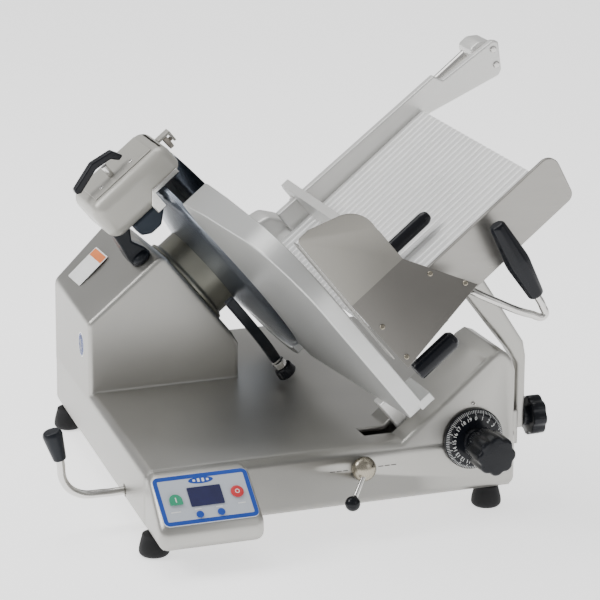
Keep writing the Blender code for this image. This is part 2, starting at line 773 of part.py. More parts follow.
def chute_floor():
    """A floor plate with raised ridges that run up the chute."""
    width = CHUTE_FAR_Y - CHUTE_NEAR_Y
    pitch = width / RIDGES
    points = [(CHUTE_NEAR_Y, FLOOR_N - FLOOR_THICK), (CHUTE_FAR_Y, FLOOR_N - FLOOR_THICK)]
    for i in reversed(range(RIDGES)):
        start = CHUTE_NEAR_Y + pitch * i
        points.append((start + pitch * 0.98, FLOOR_N - RIDGE_HEIGHT))
        points.append((start + pitch * 0.72, FLOOR_N))
        points.append((start + pitch * 0.30, FLOOR_N))
        points.append((start + pitch * 0.04, FLOOR_N - RIDGE_HEIGHT))
    along_s("chute_floor", points, CHUTE_KNIFE_S, CHUTE_TOP_S, "bright")


def chute_walls():
    near = [
        (0.222, 0.214),
        (0.300, 0.216),
        (0.513, 0.216),
        (0.523, 0.212),
        (0.526, 0.204),
        (0.516, 0.156),
        (0.510, 0.150),
        (0.505, 0.148),
        (0.345, 0.148),
        (0.303, 0.193),
        (0.290, 0.141),
        (0.222, 0.141),
    ]
    back = CHUTE_NEAR_Y - GAP
    wall = across_chute("near_wall", near, back - 0.006, back, "sheet")
    bevel(wall, 0.001, 1, 60.0)
    far = [
        (0.250, 0.200),
        (0.500, 0.196),
        (0.606, 0.168),
        (0.614, 0.172),
        (0.634, 0.206),
        (0.628, 0.213),
        (0.540, 0.220),
        (0.534, 0.234),
        (0.250, 0.240),
    ]
    front = CHUTE_FAR_Y + GAP
    rail = across_chute("far_wall", far, front, front + 0.012, "bright")
    bevel(rail, 0.0015, 1, 50.0)


def hand_guard():
    """One folded sheet: a round-cornered plate, and a flap that leans out to the operator."""
    plane, out, fold = -0.072, -0.112, 0.252
    upright = [(0.216, fold), (0.294, fold), (0.293, 0.306)]
    upright += arc((0.263, 0.318), 0.030, -10.0, 60.0, 6)
    upright += [(0.262, 0.352), (0.226, 0.370)]
    upright += arc((0.223, 0.364), 0.007, 90.0, 180.0, 3)
    bm = bmesh.new()
    corners = [bm.verts.new(place(s, plane, n)) for s, n in upright]
    bm.faces.new(corners)
    low = [bm.verts.new(place(0.341, out, 0.174)), bm.verts.new(place(0.208, out, 0.155))]
    bm.faces.new((corners[1], corners[0], low[1], low[0]))
    made = finish("hand_guard", bm, Matrix(), "sheet")
    thicken = made.modifiers.new("Solidify", "SOLIDIFY")
    thicken.thickness = 0.0025
    thicken.offset = 0.0
    start = place(0.214, -0.086, 0.128)
    profile = [(0.0, 0.0), (0.012, 0.0), (0.0125, 0.004), (0.0125, 0.062), (0.010, 0.066), (0.0, 0.066)]
    turned("guard_knob", profile, start, S, "black")


def chute_handle():
    near = CHUTE_NEAR_Y - 0.0066
    route = [
        place(0.332, near - 0.0003, 0.163),
        place(0.332, near - 0.012, 0.163),
        place(0.345, near - 0.027, 0.135),
        place(0.372, near - 0.028, 0.082),
        place(0.384, near - 0.028, 0.068),
        place(0.390, near - 0.028, 0.080),
        place(0.3925, near - 0.028, 0.096),
    ]
    bent_rod("chute_handle", route, 0.005, "bright")
    start, end = route[-1] + (route[-1] - route[-2]).normalized() * 0.0008, place(0.409, near - 0.028, 0.210)
    length = (end - start).length
    profile = [
        (0.0, 0.0),
        (0.008, 0.0),
        (0.011, 0.004),
        (GRIP_RADIUS, length * 0.42),
        (GRIP_RADIUS, length * 0.55),
        (0.012, length - 0.006),
        (0.009, length),
        (0.0, length),
    ]
    turned("chute_grip", profile, start, end - start, "black", 12)


def pusher():
    y, n = PUSHER_ROD_Y, PUSHER_ROD_N
    wall = CHUTE_FAR_Y + GAP + 0.012 + GAP
    back = y + 0.013
    low = [(0.206, n - 0.026), (0.256, n - 0.026), (0.256, n + 0.014), (0.240, n + 0.036)]
    low += [(0.222, n + 0.040), (0.206, n + 0.028)]
    first = across_chute("pusher_lower_bracket", low, wall, back, "bright")
    bevel(first, 0.004, 2)
    high = [(0.594, n - 0.018), (0.628, n - 0.018), (0.628, n + 0.004), (0.614, n + 0.014)]
    high += [(0.600, n + 0.014), (0.594, n + 0.006)]
    second = across_chute("pusher_end_bracket", high, wall, back, "bright")
    bevel(second, 0.003, 2)
    bore = rod("cut_rod_seats", place(0.216, y, n), place(0.617, y, n), PUSHER_ROD_RADIUS + GAP, "bright")
    combine(first, bore, "DIFFERENCE")
    combine(second, bore, "DIFFERENCE")
    rod("pusher_rod", place(0.2163, y, n), place(0.6167, y, n), PUSHER_ROD_RADIUS, "bright")
    start = PUSHER_S - 0.012
    ends = place(start, y, n), place(start + 0.045, y, n)
    sleeve("pusher_sleeve", ends[0], ends[1], 0.011, PUSHER_ROD_RADIUS + GAP, "bright")
    arm_low, arm_high = PUSHER_S, PUSHER_S + 0.014
    body = sleeve("pusher_arm", place(arm_low, y, n), place(arm_high, y, n), 0.018, 0.0113, "bright")
    over = [(0.334, n + 0.010), (0.332, 0.248), (0.322, 0.258), (-0.020, 0.258), (-0.026, 0.252), (-0.026, 0.214)]
    over += [(-0.023, 0.2115), (0.284, 0.2115), (0.2915, 0.2435), (0.316, 0.2435), (0.323, n + 0.014)]
    bar = along_s("guide_bar", over, arm_low + 0.001, arm_high - 0.001, "bright")
    combine(body, bar, "UNION")
    handle = place(arm_high + GAP, 0.010, 0.231)
    length = 0.072
    profile = [(0.0, 0.0), (0.010, 0.0), (0.0095, 0.010), (0.0095, length - 0.004), (0.007, length), (0.0, length)]
    turned("pusher_handle", profile, handle, S, "black")


# Sharpener


def sharpener():
    mid = 0.5 * (HOUSING_Y[0] + HOUSING_Y[1])
    low = (HOUSING_S[0], HOUSING_Y[0], HOUSING_N[0])
    high = (HOUSING_S[1], HOUSING_Y[1], HOUSING_N[1])
    chute = frame(Vector(), S, Y)
    shell = block("sharpener_housing", low, high, "bright", chute)
    bevel(shell, 0.015, 4)
    hook = [(0.170, 0.396), (0.218, 0.396), (0.218, 0.378), (0.227, 0.378), (0.227, 0.408), (0.170, 0.408)]
    nose = across_chute("guide_nose", hook, mid + 0.006, mid + 0.026, "bright")
    combine(shell, nose, "UNION")
    rim = KNIFE_RADIUS + 0.006
    arch = rod("cut_arch", knife_point(0.120), knife_point(GAUGE_FACE_S), rim, "bright", 72)
    combine(shell, arch, "DIFFERENCE")
    stone = place(HOUSING_S[1], mid - 0.016, 0.391)
    combine(shell, rod("cut_spindle", stone - S * 0.012, stone + S * 0.010, 0.0033, "bright"), "DIFFERENCE")
    low = (HOUSING_S[0] + 0.018, HOUSING_Y[0] + 0.014, HOUSING_N[1] + GAP)
    high = (HOUSING_S[1] - 0.012, HOUSING_Y[1] - 0.014, HOUSING_N[1] + 0.005)
    cover = block("sharpener_cover", low, high, "bright", chute)
    bevel(cover, 0.002, 2)
    base_n = PEDESTAL_PEAK_N + GAP
    top_n = HOUSING_N[0] - GAP
    post = [(0.060, base_n), (0.092, base_n), (0.094, top_n), (0.076, top_n), (0.060, 0.350)]
    mount = across_chute("sharpener_mount", post, HOUSING_Y[0] + 0.012, HOUSING_Y[1] - 0.030, "black")
    bevel(mount, 0.003, 2)
    lever_spot = place(0.121, HOUSING_Y[0] + 0.040, HOUSING_N[1] + 0.005 + GAP)
    post_up = rod("sharpener_lever", lever_spot, lever_spot + N * 0.018, 0.0045, "black")
    finger = [(0.068, 0.0), (0.074, -0.004), (0.110, 0.007), (0.134, 0.004), (0.142, -0.006)]
    finger += [(0.150, -0.004), (0.142, 0.012), (0.110, 0.018), (0.070, 0.006)]
    spot_y, spot_n = HOUSING_Y[0] + 0.034, HOUSING_N[1] + 0.018
    outline = [(s, n + spot_n) for s, n in finger]
    bar = across_chute("guide_finger", outline, spot_y, spot_y + 0.012, "black")
    combine(post_up, bar, "UNION")
    profile = [(0.0, -0.010), (0.003, -0.010), (0.003, 0.008), (STONE_RADIUS, 0.008), (STONE_RADIUS, 0.017)]
    turned("grinding_stone", profile + [(0.0, 0.017)], stone, S, "stone")
    profile = [(0.0, 0.0), (0.003, 0.0), (0.003, 0.004), (0.0110, 0.004), (0.0110, 0.010), (0.0, 0.010)]
    turned("truing_stone", profile, place(0.2177, mid + 0.016, 0.3835), -S, "stone")


# Levers on the base


def levers():
    start = SELECTOR - Y * (GAP + 0.0)
    profile = [(0.0, -0.020), (0.006, -0.020), (0.006, 0.0003), (0.0165, 0.0003), (0.0155, 0.006), (0.010, 0.013)]
    profile += [(0.0, 0.016)]
    hub = turned("selector_lever", profile, start, -Y, "bright")
    elbow = SELECTOR + Vector((-0.002, -0.010, -0.004))
    tip = SELECTOR + Vector((-0.020, -0.024, -0.028))
    combine(hub, rod("guide_stem", elbow, tip, 0.0035, "bright", 16), "UNION")
    radius = 0.0100
    centre = tip + (tip - elbow).normalized() * (radius + GAP)
    ball = arc((0.0, 0.0), radius, -90.0, 90.0, 10)
    turned("selector_ball", [(abs(r), h) for r, h in ball], centre, Z, "black", 20)
    route = [
        LIFT_START + X * 0.006,
        LIFT_START - X * 0.030,
        LIFT_START + Vector((-0.062, 0.0, 0.004)),
        LIFT_START + Vector((-0.080, 0.0, 0.020)),
        LIFT_START + Vector((-0.086, 0.0, 0.052)),
    ]
    bent_rod("lift_lever", route, 0.0055, "bright")
    start = route[-1] + (route[-1] - route[-2]).normalized() * 0.0008
    end = start + Vector((-0.011, 0.0, 0.040))
    length = (end - start).length
    profile = [(0.0, 0.0), (0.008, 0.0), (0.0085, 0.002), (0.0135, length - 0.006), (0.011, length), (0.0, length)]
    turned("lift_knob", profile, start, end - start, "black")


def inlet():
    """A gland for the supply cord, in the back wall."""
    start = INLET - Y * 0.012
    profile = [
        (0.0045, 0.0),
        (0.010, 0.0),
        (0.010, 0.0123),
        (0.015, 0.0123),
        (0.015, 0.017),
        (0.009, 0.030),
        (0.0045, 0.030),
    ]
    turned("cord_gland", profile, start, Y, "black")


def centre_on_floor():
    """Puts the origin on the floor under the middle of the whole object."""
    bpy.context.view_layer.update()
    graph = bpy.context.evaluated_depsgraph_get()
    low, high = Vector((9, 9, 9)), Vector((-9, -9, -9))
    for item in bpy.context.scene.objects:
        if item.hide_render or item.type not in ("MESH", "CURVE"):
            continue
        shape = item.evaluated_get(graph).to_mesh()
        for vertex in shape.vertices:
            spot = item.matrix_world @ vertex.co
            low = Vector(map(min, low, spot))
            high = Vector(map(max, high, spot))
        item.evaluated_get(graph).to_mesh_clear()
    shift = Vector(((low.x + high.x) / 2, (low.y + high.y) / 2, low.z))
    for item in bpy.context.scene.objects:
        if item.parent is None:
            item.location -= shift
    return shift


def hang(body, pivot, names):
    """Puts pieces that move together under an empty on their joint's axis."""
    empty = bpy.data.objects.new(body, None)
    empty.empty_display_size = 0.02
    empty.location = pivot
    bpy.context.scene.collection.objects.link(empty)
    for name in names:
        item = bpy.data.objects[name]
        item.parent = empty
        item.location -= Vector(pivot)
    return empty


def middle_of(name):
    """The mean of a piece's corners, which lies on its axis."""
    shape = bpy.data.objects[name].data
    total = Vector()
    for vertex in shape.vertices:
        total += vertex.co
    return total / len(shape.vertices)


def bodies():
    """Every joint's pivot, with the pieces that it carries."""
    arm = Vector((ARM_X, CARRIAGE_Y, ARM_LOW_Z))
    chute = ["chute_arm", "chute_floor", "near_wall", "far_wall", "hand_guard"]
    chute += ["guard_knob", "chute_handle", "chute_grip", "pusher_rod", "pusher_lower_bracket"]
    chute += ["pusher_end_bracket"]
    rod_spot = place(PUSHER_S, PUSHER_ROD_Y, PUSHER_ROD_N)
    found = {
        "knife_axis": (knife_point(KNIFE_S), ["knife", "knife_shaft", "knife_cap", "knife_pulley"]),
        "motor_axis": (place(PULLEY_S, KNIFE_Y, MOTOR_N), ["motor_pulley"]),
        "gauge_axis": (place(0.176, SLIDE_ROD_Y, SLIDE_ROD_N), ["gauge_plate", "gauge_bracket"]),
        "index_axis": (Vector((DIAL_X, FRONT_WALL_Y, DIAL_Z)), ["index_shaft", "dial_disc", "index_knob"]),
        "carriage_axis": (Vector((CARRIAGE_ROD_X, CARRIAGE_Y, CARRIAGE_ROD_Z)), ["carriage_truck"]),
        "chute_axis": (arm, chute),
        "arm_knob_axis": (Vector((ARM_X + ARM_THICK, CARRIAGE_Y, ARM_PIVOT_Z)), ["arm_knob"]),
        "sleeve_axis": (rod_spot, ["pusher_sleeve"]),
        "pusher_axis": (rod_spot, ["pusher_arm", "pusher_handle"]),
        "stone_axis": (middle_of("grinding_stone"), ["grinding_stone"]),
        "truing_axis": (middle_of("truing_stone"), ["truing_stone"]),
        "sharpener_lever_axis": (place(0.121, HOUSING_Y[0] + 0.040, HOUSING_N[1]), ["sharpener_lever"]),
        "selector_axis": (SELECTOR, ["selector_lever", "selector_ball"]),
        "lift_axis": (LIFT_START, ["lift_lever", "lift_knob"]),
        "deflector_knob_axis": (middle_of("deflector_knob"), ["deflector_knob"]),
    }
    for name in ("start_button", "stop_button", "down_button", "up_button"):
        found[name + "_axis"] = (middle_of(name), [name])
    return found


def main():
    for item in list(bpy.data.objects):
        bpy.data.objects.remove(item)
    base_casting()
    bottom_cover()
    feet()
    control_panel()
    knife_parts()
    knife_drive()
    knife_guards()
    gauge()
    index_control()
    carriage()
    chute_floor()
    chute_walls()
    hand_guard()
    chute_handle()
    pusher()
    sharpener()
    levers()
    inlet()
    for body, (pivot, names) in bodies().items():
        hang(body, pivot, names)
    centre_on_floor()


main()
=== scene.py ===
import json
import math

import bmesh
import bpy
from mathutils import Matrix, Vector


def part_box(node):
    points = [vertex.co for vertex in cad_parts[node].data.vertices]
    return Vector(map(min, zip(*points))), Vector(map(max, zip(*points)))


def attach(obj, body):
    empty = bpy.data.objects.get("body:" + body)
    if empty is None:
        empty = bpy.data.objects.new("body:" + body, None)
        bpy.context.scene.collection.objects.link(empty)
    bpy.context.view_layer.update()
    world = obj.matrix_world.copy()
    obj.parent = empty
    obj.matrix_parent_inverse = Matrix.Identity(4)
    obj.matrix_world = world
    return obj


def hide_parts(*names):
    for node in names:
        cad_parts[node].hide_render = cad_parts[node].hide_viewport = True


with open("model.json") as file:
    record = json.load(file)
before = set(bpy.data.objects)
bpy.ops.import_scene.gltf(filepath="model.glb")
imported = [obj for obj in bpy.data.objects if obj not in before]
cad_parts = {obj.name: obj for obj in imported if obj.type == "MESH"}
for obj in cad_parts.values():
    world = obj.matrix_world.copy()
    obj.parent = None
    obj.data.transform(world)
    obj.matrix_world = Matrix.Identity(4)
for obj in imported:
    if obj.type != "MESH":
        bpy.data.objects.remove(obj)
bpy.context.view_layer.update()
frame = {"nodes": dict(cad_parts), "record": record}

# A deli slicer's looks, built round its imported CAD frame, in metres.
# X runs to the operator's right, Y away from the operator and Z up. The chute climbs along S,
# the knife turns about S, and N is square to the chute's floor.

# Axes and the frame's own sizes

TILT = math.radians(39.0)
S = Vector((math.cos(TILT), 0, math.sin(TILT)))
N = Vector((-math.sin(TILT), 0, math.cos(TILT)))
X, Y, Z = Vector((1.0, 0, 0)), Vector((0, 1.0, 0)), Vector((0, 0, 1.0))

JOINTS = {joint["name"]: joint for joint in frame["record"]["behaviour"]["joints"]}
KNIFE_S, KNIFE_Y, KNIFE_N = 0.203, 0.4, 0.213
KNIFE_RADIUS = 0.165
ORIGIN = Vector(JOINTS["knife_spin"]["pos_m"]) - (S * KNIFE_S + Y * KNIFE_Y + N * KNIFE_N)

GAP = 0.0003  # between neighbouring pieces
WALL = 0.006  # of the base casting
STEP = 0.0006  # by which the shapes joined to the base keep inside its faces
SMOOTH = 35.0  # degrees above which an edge shades sharp
BASE_Z, DECK_Z = 0.03, 0.11
BASE_BACK_Y = 0.545
BASE_LEFT_X, BASE_RIGHT_X = -0.246, 0.268
SIDE_SKEW = 0.087
BOX_FRONT_Y, BOX_TOP_Y, BOX_RIGHT_X, BOX_LIP_Z = -0.078, -0.014, -0.112, 0.06
PEDESTAL_FRONT_Y, PEDESTAL_RIGHT_X = 0.326, -0.002
PEDESTAL_SHOULDER_Z, PEDESTAL_SLOPE_S, PEDESTAL_PEAK_N = 0.209, 0.101, 0.299
WEDGE_LEFT_X, WEDGE_RIGHT_X, WEDGE_TOP_Z, WEDGE_DEPTH, WEDGE_RUN = 0.107, 0.264, 0.219, 0.12, 0.128
GAUGE_FACE_S, GAUGE_NEAR_Y, GAUGE_TOP_N, GAUGE_BOTTOM_N = 0.199, -0.045, 0.372, 0.058
DIAL_X, DIAL_Z, DIAL_RADIUS = 0.203, 0.105, 0.041
CARRIAGE_Y, CARRIAGE_TRAVEL = 0.05, 0.28
ARM_X, ARM_THICK, ARM_LOW_Z, ARM_PIVOT_Z = 0.282, 0.013, 0.096, 0.108
CHUTE_KNIFE_S, CHUTE_TOP_S = 0.207, 0.492
CHUTE_NEAR_Y, CHUTE_FAR_Y = -0.062, 0.297
FLOOR_N, FLOOR_THICK, RAIL_THICK = 0.21, 0.005, 0.012
PUSHER_ROD_Y, PUSHER_ROD_N, PUSHER_S, PUSHER_THICK = 0.341, 0.206, 0.281, 0.014
HOUSING_S, HOUSING_Y, HOUSING_N = (0.064, 0.176), (0.336, 0.44), (0.372, 0.412)
LID_THICK = 0.0016
LIFT_START = Vector((-0.236, 0.118, 0.046))
SELECTOR = Vector((0.05, 0, 0.081))


def place(s, y, n):
    """The point at s along the chute, y from the front wall and n off the chute's base plane."""
    return ORIGIN + S * s + Y * y + N * n


def at(x, y, z):
    """A point measured from the base's front edge, its middle and the floor."""
    return ORIGIN + Vector((x, y, z))


def axes(origin, x_axis, y_axis):
    """A matrix whose local X and Y lie along the two axes given."""
    rows = Matrix((x_axis, y_axis, x_axis.cross(y_axis))).transposed().to_4x4()
    rows.translation = origin
    return rows


CHUTE = axes(ORIGIN, S, Y)  # whose third axis is N


# Materials


def set_inputs(node, values):
    """Sets a shader node's named inputs."""
    for name, value in values.items():
        node.inputs[name].default_value = value


def nodes_of(name):
    """A new material, its node tree and its shader."""
    made = bpy.data.materials.new(name)
    made.use_nodes = True
    tree = made.node_tree
    return made, tree, tree.nodes["Principled BSDF"]


def noise(tree, scale, detail, stretch, seed):
    """A noise texture in the object's own coordinates, drawn out along the longer stretch."""
    coords = tree.nodes.new("ShaderNodeTexCoord")
    mapping = tree.nodes.new("ShaderNodeMapping")
    set_inputs(mapping, {"Scale": stretch, "Location": (seed, seed * 0.7, seed * 0.3)})
    texture = tree.nodes.new("ShaderNodeTexNoise")
    set_inputs(texture, {"Scale": scale, "Detail": detail})
    tree.links.new(coords.outputs["Object"], mapping.inputs["Vector"])
    tree.links.new(mapping.outputs["Vector"], texture.inputs["Vector"])
    return texture.outputs["Fac"]


def spread(tree, value, low, high):
    """Maps a noise value onto a range."""
    mapped = tree.nodes.new("ShaderNodeMapRange")
    set_inputs(mapped, {"From Min": 0.3, "From Max": 0.7, "To Min": low, "To Max": high})
    tree.links.new(value, mapped.inputs["Value"])
    return mapped.outputs["Result"]


def surface(
    name, colour, roughness, metallic=0, mottle=0.05, mottle_scale=6.0, grain=900.0,
    stretch=(1.0, 1.0, 1.0), bump=0.05, rough_spread=0.05, coat=0, rounding=0, specular=0.5, seed=1.0,
):
    """A finish with cloudy colour, uneven gloss and a fine grain, which stretch turns into brushing."""
    made, tree, shader = nodes_of(name)
    cloud = noise(tree, mottle_scale, 4.0, (1.0, 1.0, 1.0), seed)
    mix = tree.nodes.new("ShaderNodeMix")
    mix.data_type = "RGBA"
    darker, lighter = [c * (1.0 - mottle) for c in colour], [min(c * (1.0 + mottle), 1.0) for c in colour]
    set_inputs(mix, {"A": (*darker, 1.0), "B": (*lighter, 1.0)})
    tree.links.new(spread(tree, cloud, 0, 1.0), mix.inputs["Factor"])
    tree.links.new(mix.outputs["Result"], shader.inputs["Base Color"])
    fine = noise(tree, grain, 3.0, stretch, seed + 3.0)
    gloss = tree.nodes.new("ShaderNodeMath")
    gloss.operation = "ADD"
    tree.links.new(spread(tree, fine, -rough_spread, rough_spread), gloss.inputs[0])
    low, high = roughness - rough_spread * 0.5, roughness + rough_spread * 0.5
    tree.links.new(spread(tree, cloud, low, high), gloss.inputs[1])
    tree.links.new(gloss.outputs[0], shader.inputs["Roughness"])
    set_inputs(shader, {"Metallic": metallic, "Coat Weight": coat, "Specular IOR Level": specular})
    bumps = tree.nodes.new("ShaderNodeBump")
    set_inputs(bumps, {"Strength": bump, "Distance": 0.0004})
    tree.links.new(fine, bumps.inputs["Height"])
    if rounding:
        edges = tree.nodes.new("ShaderNodeBevel")
        edges.samples = 6
        set_inputs(edges, {"Radius": rounding})
        tree.links.new(edges.outputs["Normal"], bumps.inputs["Normal"])
    tree.links.new(bumps.outputs["Normal"], shader.inputs["Normal"])
    return made


CAST = surface("cast_aluminium", (0.42, 0.413, 0.39), 0.36, 0.9, 0.05, 6.0, rounding=0.005, bump=0.1)
HUB = surface("hub_casting", (0.3, 0.295, 0.25), 0.4, 0.85, 0.1, 18.0, 700.0, bump=0.14, seed=2.0)
GAUGE = surface(
    "gauge_aluminium", (0.58, 0.585, 0.575), 0.36, 0.6, 0.03, 5.0, 700.0, (0.06, 1.0, 1.0), 0.03, seed=3.0,
)
WHITE_METAL = surface(
    "bright_anodised", (0.9, 0.9, 0.89), 0.32, 0.3, 0.03, 8.0, 600.0, (0.08, 1.0, 0.08), 0.03, seed=4.0,
)
BRACKET = surface("bright_casting", (0.74, 0.735, 0.715), 0.38, 0.5, 0.04, 10.0, 800.0, bump=0.1, seed=5.0)
SHEET = surface(
    "brushed_sheet", (0.34, 0.33, 0.31), 0.33, 0.9, 0.04, 5.0, 700.0, (0.04, 1.0, 1.0), 0.06, seed=6.0,
)
GUARD = surface(
    "guard_sheet", (0.27, 0.26, 0.235), 0.38, 0.75, 0.05, 6.0, 700.0, (1.0, 1.0, 0.05), 0.06, seed=7.0,
)
# A darker copy of the guard sheet's finish for the flap: painted shade, standing in for the shade the tilted
# flap falls in
SHADED_GUARD_FLAP = surface(
    "guard_flap_painted_shade", (0.17, 0.163, 0.15), 0.38, 0.75, 0.05, 6.0, 700.0, (1.0, 1.0, 0.05), 0.06, seed=7.5,
)
STEEL = surface("polished_steel", (0.62, 0.61, 0.59), 0.2, 1.0, 0.04, 20.0, 600.0, bump=0.03, seed=8.0)
BLADE = surface(
    "knife_steel", (0.5, 0.53, 0.58), 0.14, 1.0, 0.03, 9.0, 90.0, bump=0.01, rough_spread=0.015, seed=9.0,
)
DISH = surface(
    "dark_cover", (0.25, 0.28, 0.33), 0.24, 0.85, 0.05, 7.0, 90.0, bump=0.01, rough_spread=0.015, seed=10.0,
)
DOME = surface("dome_steel", (0.34, 0.31, 0.25), 0.26, 1.0, 0.03, 30.0, 500.0, bump=0.05, seed=11.0)
SHARPENER = surface(
    "sharpener_enamel", (0.42, 0.41, 0.375), 0.34, 0.25, 0.03, 6.0, bump=0.1, coat=0.2, seed=12.0,
)
BLACK = surface(
    "black_phenolic", (0.006, 0.007, 0.01), 0.2, 0, 0.2, 30.0, 800.0, bump=0.02, rough_spread=0.03,
    specular=0.25, seed=13.0,
)
SATIN_BLACK = surface(
    "black_moulding", (0.008, 0.01, 0.014), 0.36, 0, 0.25, 25.0, bump=0.06, specular=0.25, seed=14.0,
)
DARK_BLUE = surface(
    "blued_casting", (0.02, 0.028, 0.04), 0.34, 0.3, 0.2, 25.0, bump=0.06, specular=0.25, seed=14.5,
)
RUBBER = surface("foot_rubber", (0.012, 0.012, 0.013), 0.62, 0, 0.3, 30.0, bump=0.3, specular=0.25, seed=15.0)
PANEL = surface("panel_film", (0.56, 0.6, 0.66), 0.32, 0, 0.02, 20.0, bump=0.05, seed=16.0)
BLUE = surface("blue_ink", (0.015, 0.07, 0.4), 0.34, 0, 0.06, 30.0, bump=0.04, seed=17.0)
NAVY = surface(
    "display_window", (0.012, 0.014, 0.075), 0.1, 0, 0.15, 40.0, 500.0, bump=0.01, coat=0.6, seed=18.0,
)
GREEN = surface("green_key", (0.03, 0.33, 0.18), 0.36, 0, 0.06, 60.0, bump=0.06, seed=19.0)
RED = surface("red_key", (0.62, 0.04, 0.05), 0.36, 0, 0.06, 60.0, bump=0.06, seed=20.0)
WHITE_INK = surface("white_ink", (0.86, 0.87, 0.86), 0.45, 0, 0.03, 60.0, bump=0.04, seed=21.0)
GREY_INK = surface("grey_ink", (0.11, 0.105, 0.1), 0.5, 0, 0.1, 60.0, bump=0.04, seed=22.0)
ORANGE_INK = surface("orange_ink", (0.75, 0.2, 0.05), 0.45, 0, 0.08, 60.0, bump=0.04, seed=23.0)
STONE = surface("abrasive_stone", (0.34, 0.31, 0.27), 0.85, 0, 0.25, 120.0, 1600.0, bump=0.6, seed=24.0)


# Building


def add(name, data):
    """A new object of the data, in the scene."""
    made = bpy.data.objects.new(name, data)
    bpy.context.scene.collection.objects.link(made)
    return made


def piece(name, bm, matrix, finish, body, replaced=(), smooth=SMOOTH):
    """An object of the mesh that rides on a body and stands for the CAD nodes it replaces."""
    bm.transform(matrix)
    bmesh.ops.recalc_face_normals(bm, faces=bm.faces)
    mesh = bpy.data.meshes.new(name)
    bm.to_mesh(mesh)
    bm.free()
    mesh.shade_smooth()
    mesh.set_sharp_from_angle(angle=math.radians(smooth))
    mesh.materials.append(finish)
    made = add(name, mesh)
    if body:
        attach(made, body)
    if replaced:
        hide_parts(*replaced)
    return made


def draw_out(bm, way):
    """Extrudes every face of the mesh by the vector."""
    drawn = bmesh.ops.extrude_face_region(bm, geom=list(bm.faces))
    moved = [v for v in drawn["geom"] if isinstance(v, bmesh.types.BMVert)]
    bmesh.ops.translate(bm, verts=moved, vec=way)


def bridge(bm, first, second):
    """Faces between two rings with as many corners."""
    count = len(first)
    for i in range(count):
        j = (i + 1) % count
        bm.faces.new((first[i], first[j], second[j], second[i]))


def prism(name, outline, depth, matrix, finish=CAST, body=None, replaced=()):
    """The closed outline in local XY, drawn out along local Z."""
    bm = bmesh.new()
    bm.faces.new([bm.verts.new((x, y, 0)) for x, y in outline])
    draw_out(bm, (0, 0, depth))
    return piece(name, bm, matrix, finish, body, replaced)


def across(name, outline, low, high, finish=CAST, body=None, replaced=()):
    """An outline in X and Z, drawn from y = low to y = high."""
    matrix = axes(ORIGIN + Y * high, X, Z)
    return prism(name, outline, high - low, matrix, finish, body, replaced)


def across_chute(name, outline, low, high, finish=CAST, body=None, replaced=()):
    """An outline in S and N, drawn from y = low to y = high."""
    matrix = axes(ORIGIN + Y * high, S, N)
    return prism(name, outline, high - low, matrix, finish, body, replaced)


def along_s(name, outline, low, high, finish=CAST, body=None, replaced=()):
    """An outline in Y and N, drawn from s = low to s = high."""
    matrix = axes(ORIGIN + S * low, Y, N)
    return prism(name, outline, high - low, matrix, finish, body, replaced)


def block(name, low, high, finish=CAST, body=None, replaced=(), matrix=None):
    """A box between two corners of a frame whose Z is the third axis."""
    outline = [(low[0], low[1]), (high[0], low[1]), (high[0], high[1]), (low[0], high[1])]
    base = matrix or Matrix.Translation(ORIGIN)
    lift = Matrix.Translation((0, 0, low[2]))
    return prism(name, outline, high[2] - low[2], base @ lift, finish, body, replaced)


def turned(name, profile, origin, axis, finish=CAST, body=None, replaced=(), segments=72, smooth=SMOOTH):
    """A closed profile of (radius, distance) pairs turned about the axis."""
    up = axis.normalized()
    side = up.orthogonal().normalized()
    bm = bmesh.new()
    rings = []
    for radius, height in profile:
        if radius < 1e-6:
            rings.append([bm.verts.new((0, 0, height))])
            continue
        ring = []
        for i in range(segments):
            turn = 2.0 * math.pi * i / segments
            ring.append(bm.verts.new((radius * math.cos(turn), radius * math.sin(turn), height)))
        rings.append(ring)
    for first, second in zip(rings, rings[1:] + rings[:1]):
        for i in range(segments):
            j = (i + 1) % segments
            loop = [first[i % len(first)], first[j % len(first)]]
            loop += [second[j % len(second)], second[i % len(second)]]
            corners = list(dict.fromkeys(loop))
            if len(corners) > 2:
                bm.faces.new(corners)
    matrix = axes(origin, side, up.cross(side))
    return piece(name, bm, matrix, finish, body, replaced, smooth)


def round_edges(profile, radius, steps=4):
    """The profile with each corner off the axis turned into an arc of short chords."""
    made = []
    count = len(profile)
    for i, (r, h) in enumerate(profile):
        if r < 1e-6:
            made.append((r, h))
            continue
        here = Vector((r, h))
        before = Vector(profile[i - 1]) - here
        after = Vector(profile[(i + 1) % count]) - here
        cut = min(radius, before.length * 0.45, after.length * 0.45)
        start = here + before.normalized() * cut
        end = here + after.normalized() * cut
        for k in range(steps + 1):
            t = k / steps
            spot = start * (1 - t) ** 2 + here * 2 * t * (1 - t) + end * t * t
            made.append((max(spot.x, 0), spot.y))
    return made


def rod(name, start, end, radius, finish=CAST, body=None, replaced=(), edge=0.0008, segments=40):
    """A straight round bar with softened ends."""
    length = (end - start).length
    profile = round_edges([(0, 0), (radius, 0), (radius, length), (0, length)], edge, 3)
    return turned(name, profile, start, end - start, finish, body, replaced, segments)


def past_end(route):
    """The point a little beyond the route's last one, where its grip starts."""
    return route[-1] + (route[-1] - route[-2]).normalized() * 0.0008


def bent_rod(name, points, radius, finish, body, replaced=()):
    """A round bar along a smooth curve through the points."""
    curve = bpy.data.curves.new(name, "CURVE")
    curve.dimensions = "3D"
    curve.bevel_depth = radius
    curve.bevel_resolution = 8
    curve.use_fill_caps = True
    curve.resolution_u = 16
    spline = curve.splines.new("BEZIER")
    spline.bezier_points.add(len(points) - 1)
    for spot, point in zip(spline.bezier_points, points):
        spot.co = point
        spot.handle_left_type = "AUTO"
        spot.handle_right_type = "AUTO"
    curve.materials.append(finish)
    made = add(name, curve)
    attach(made, body)
    if replaced:
        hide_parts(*replaced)
    return made


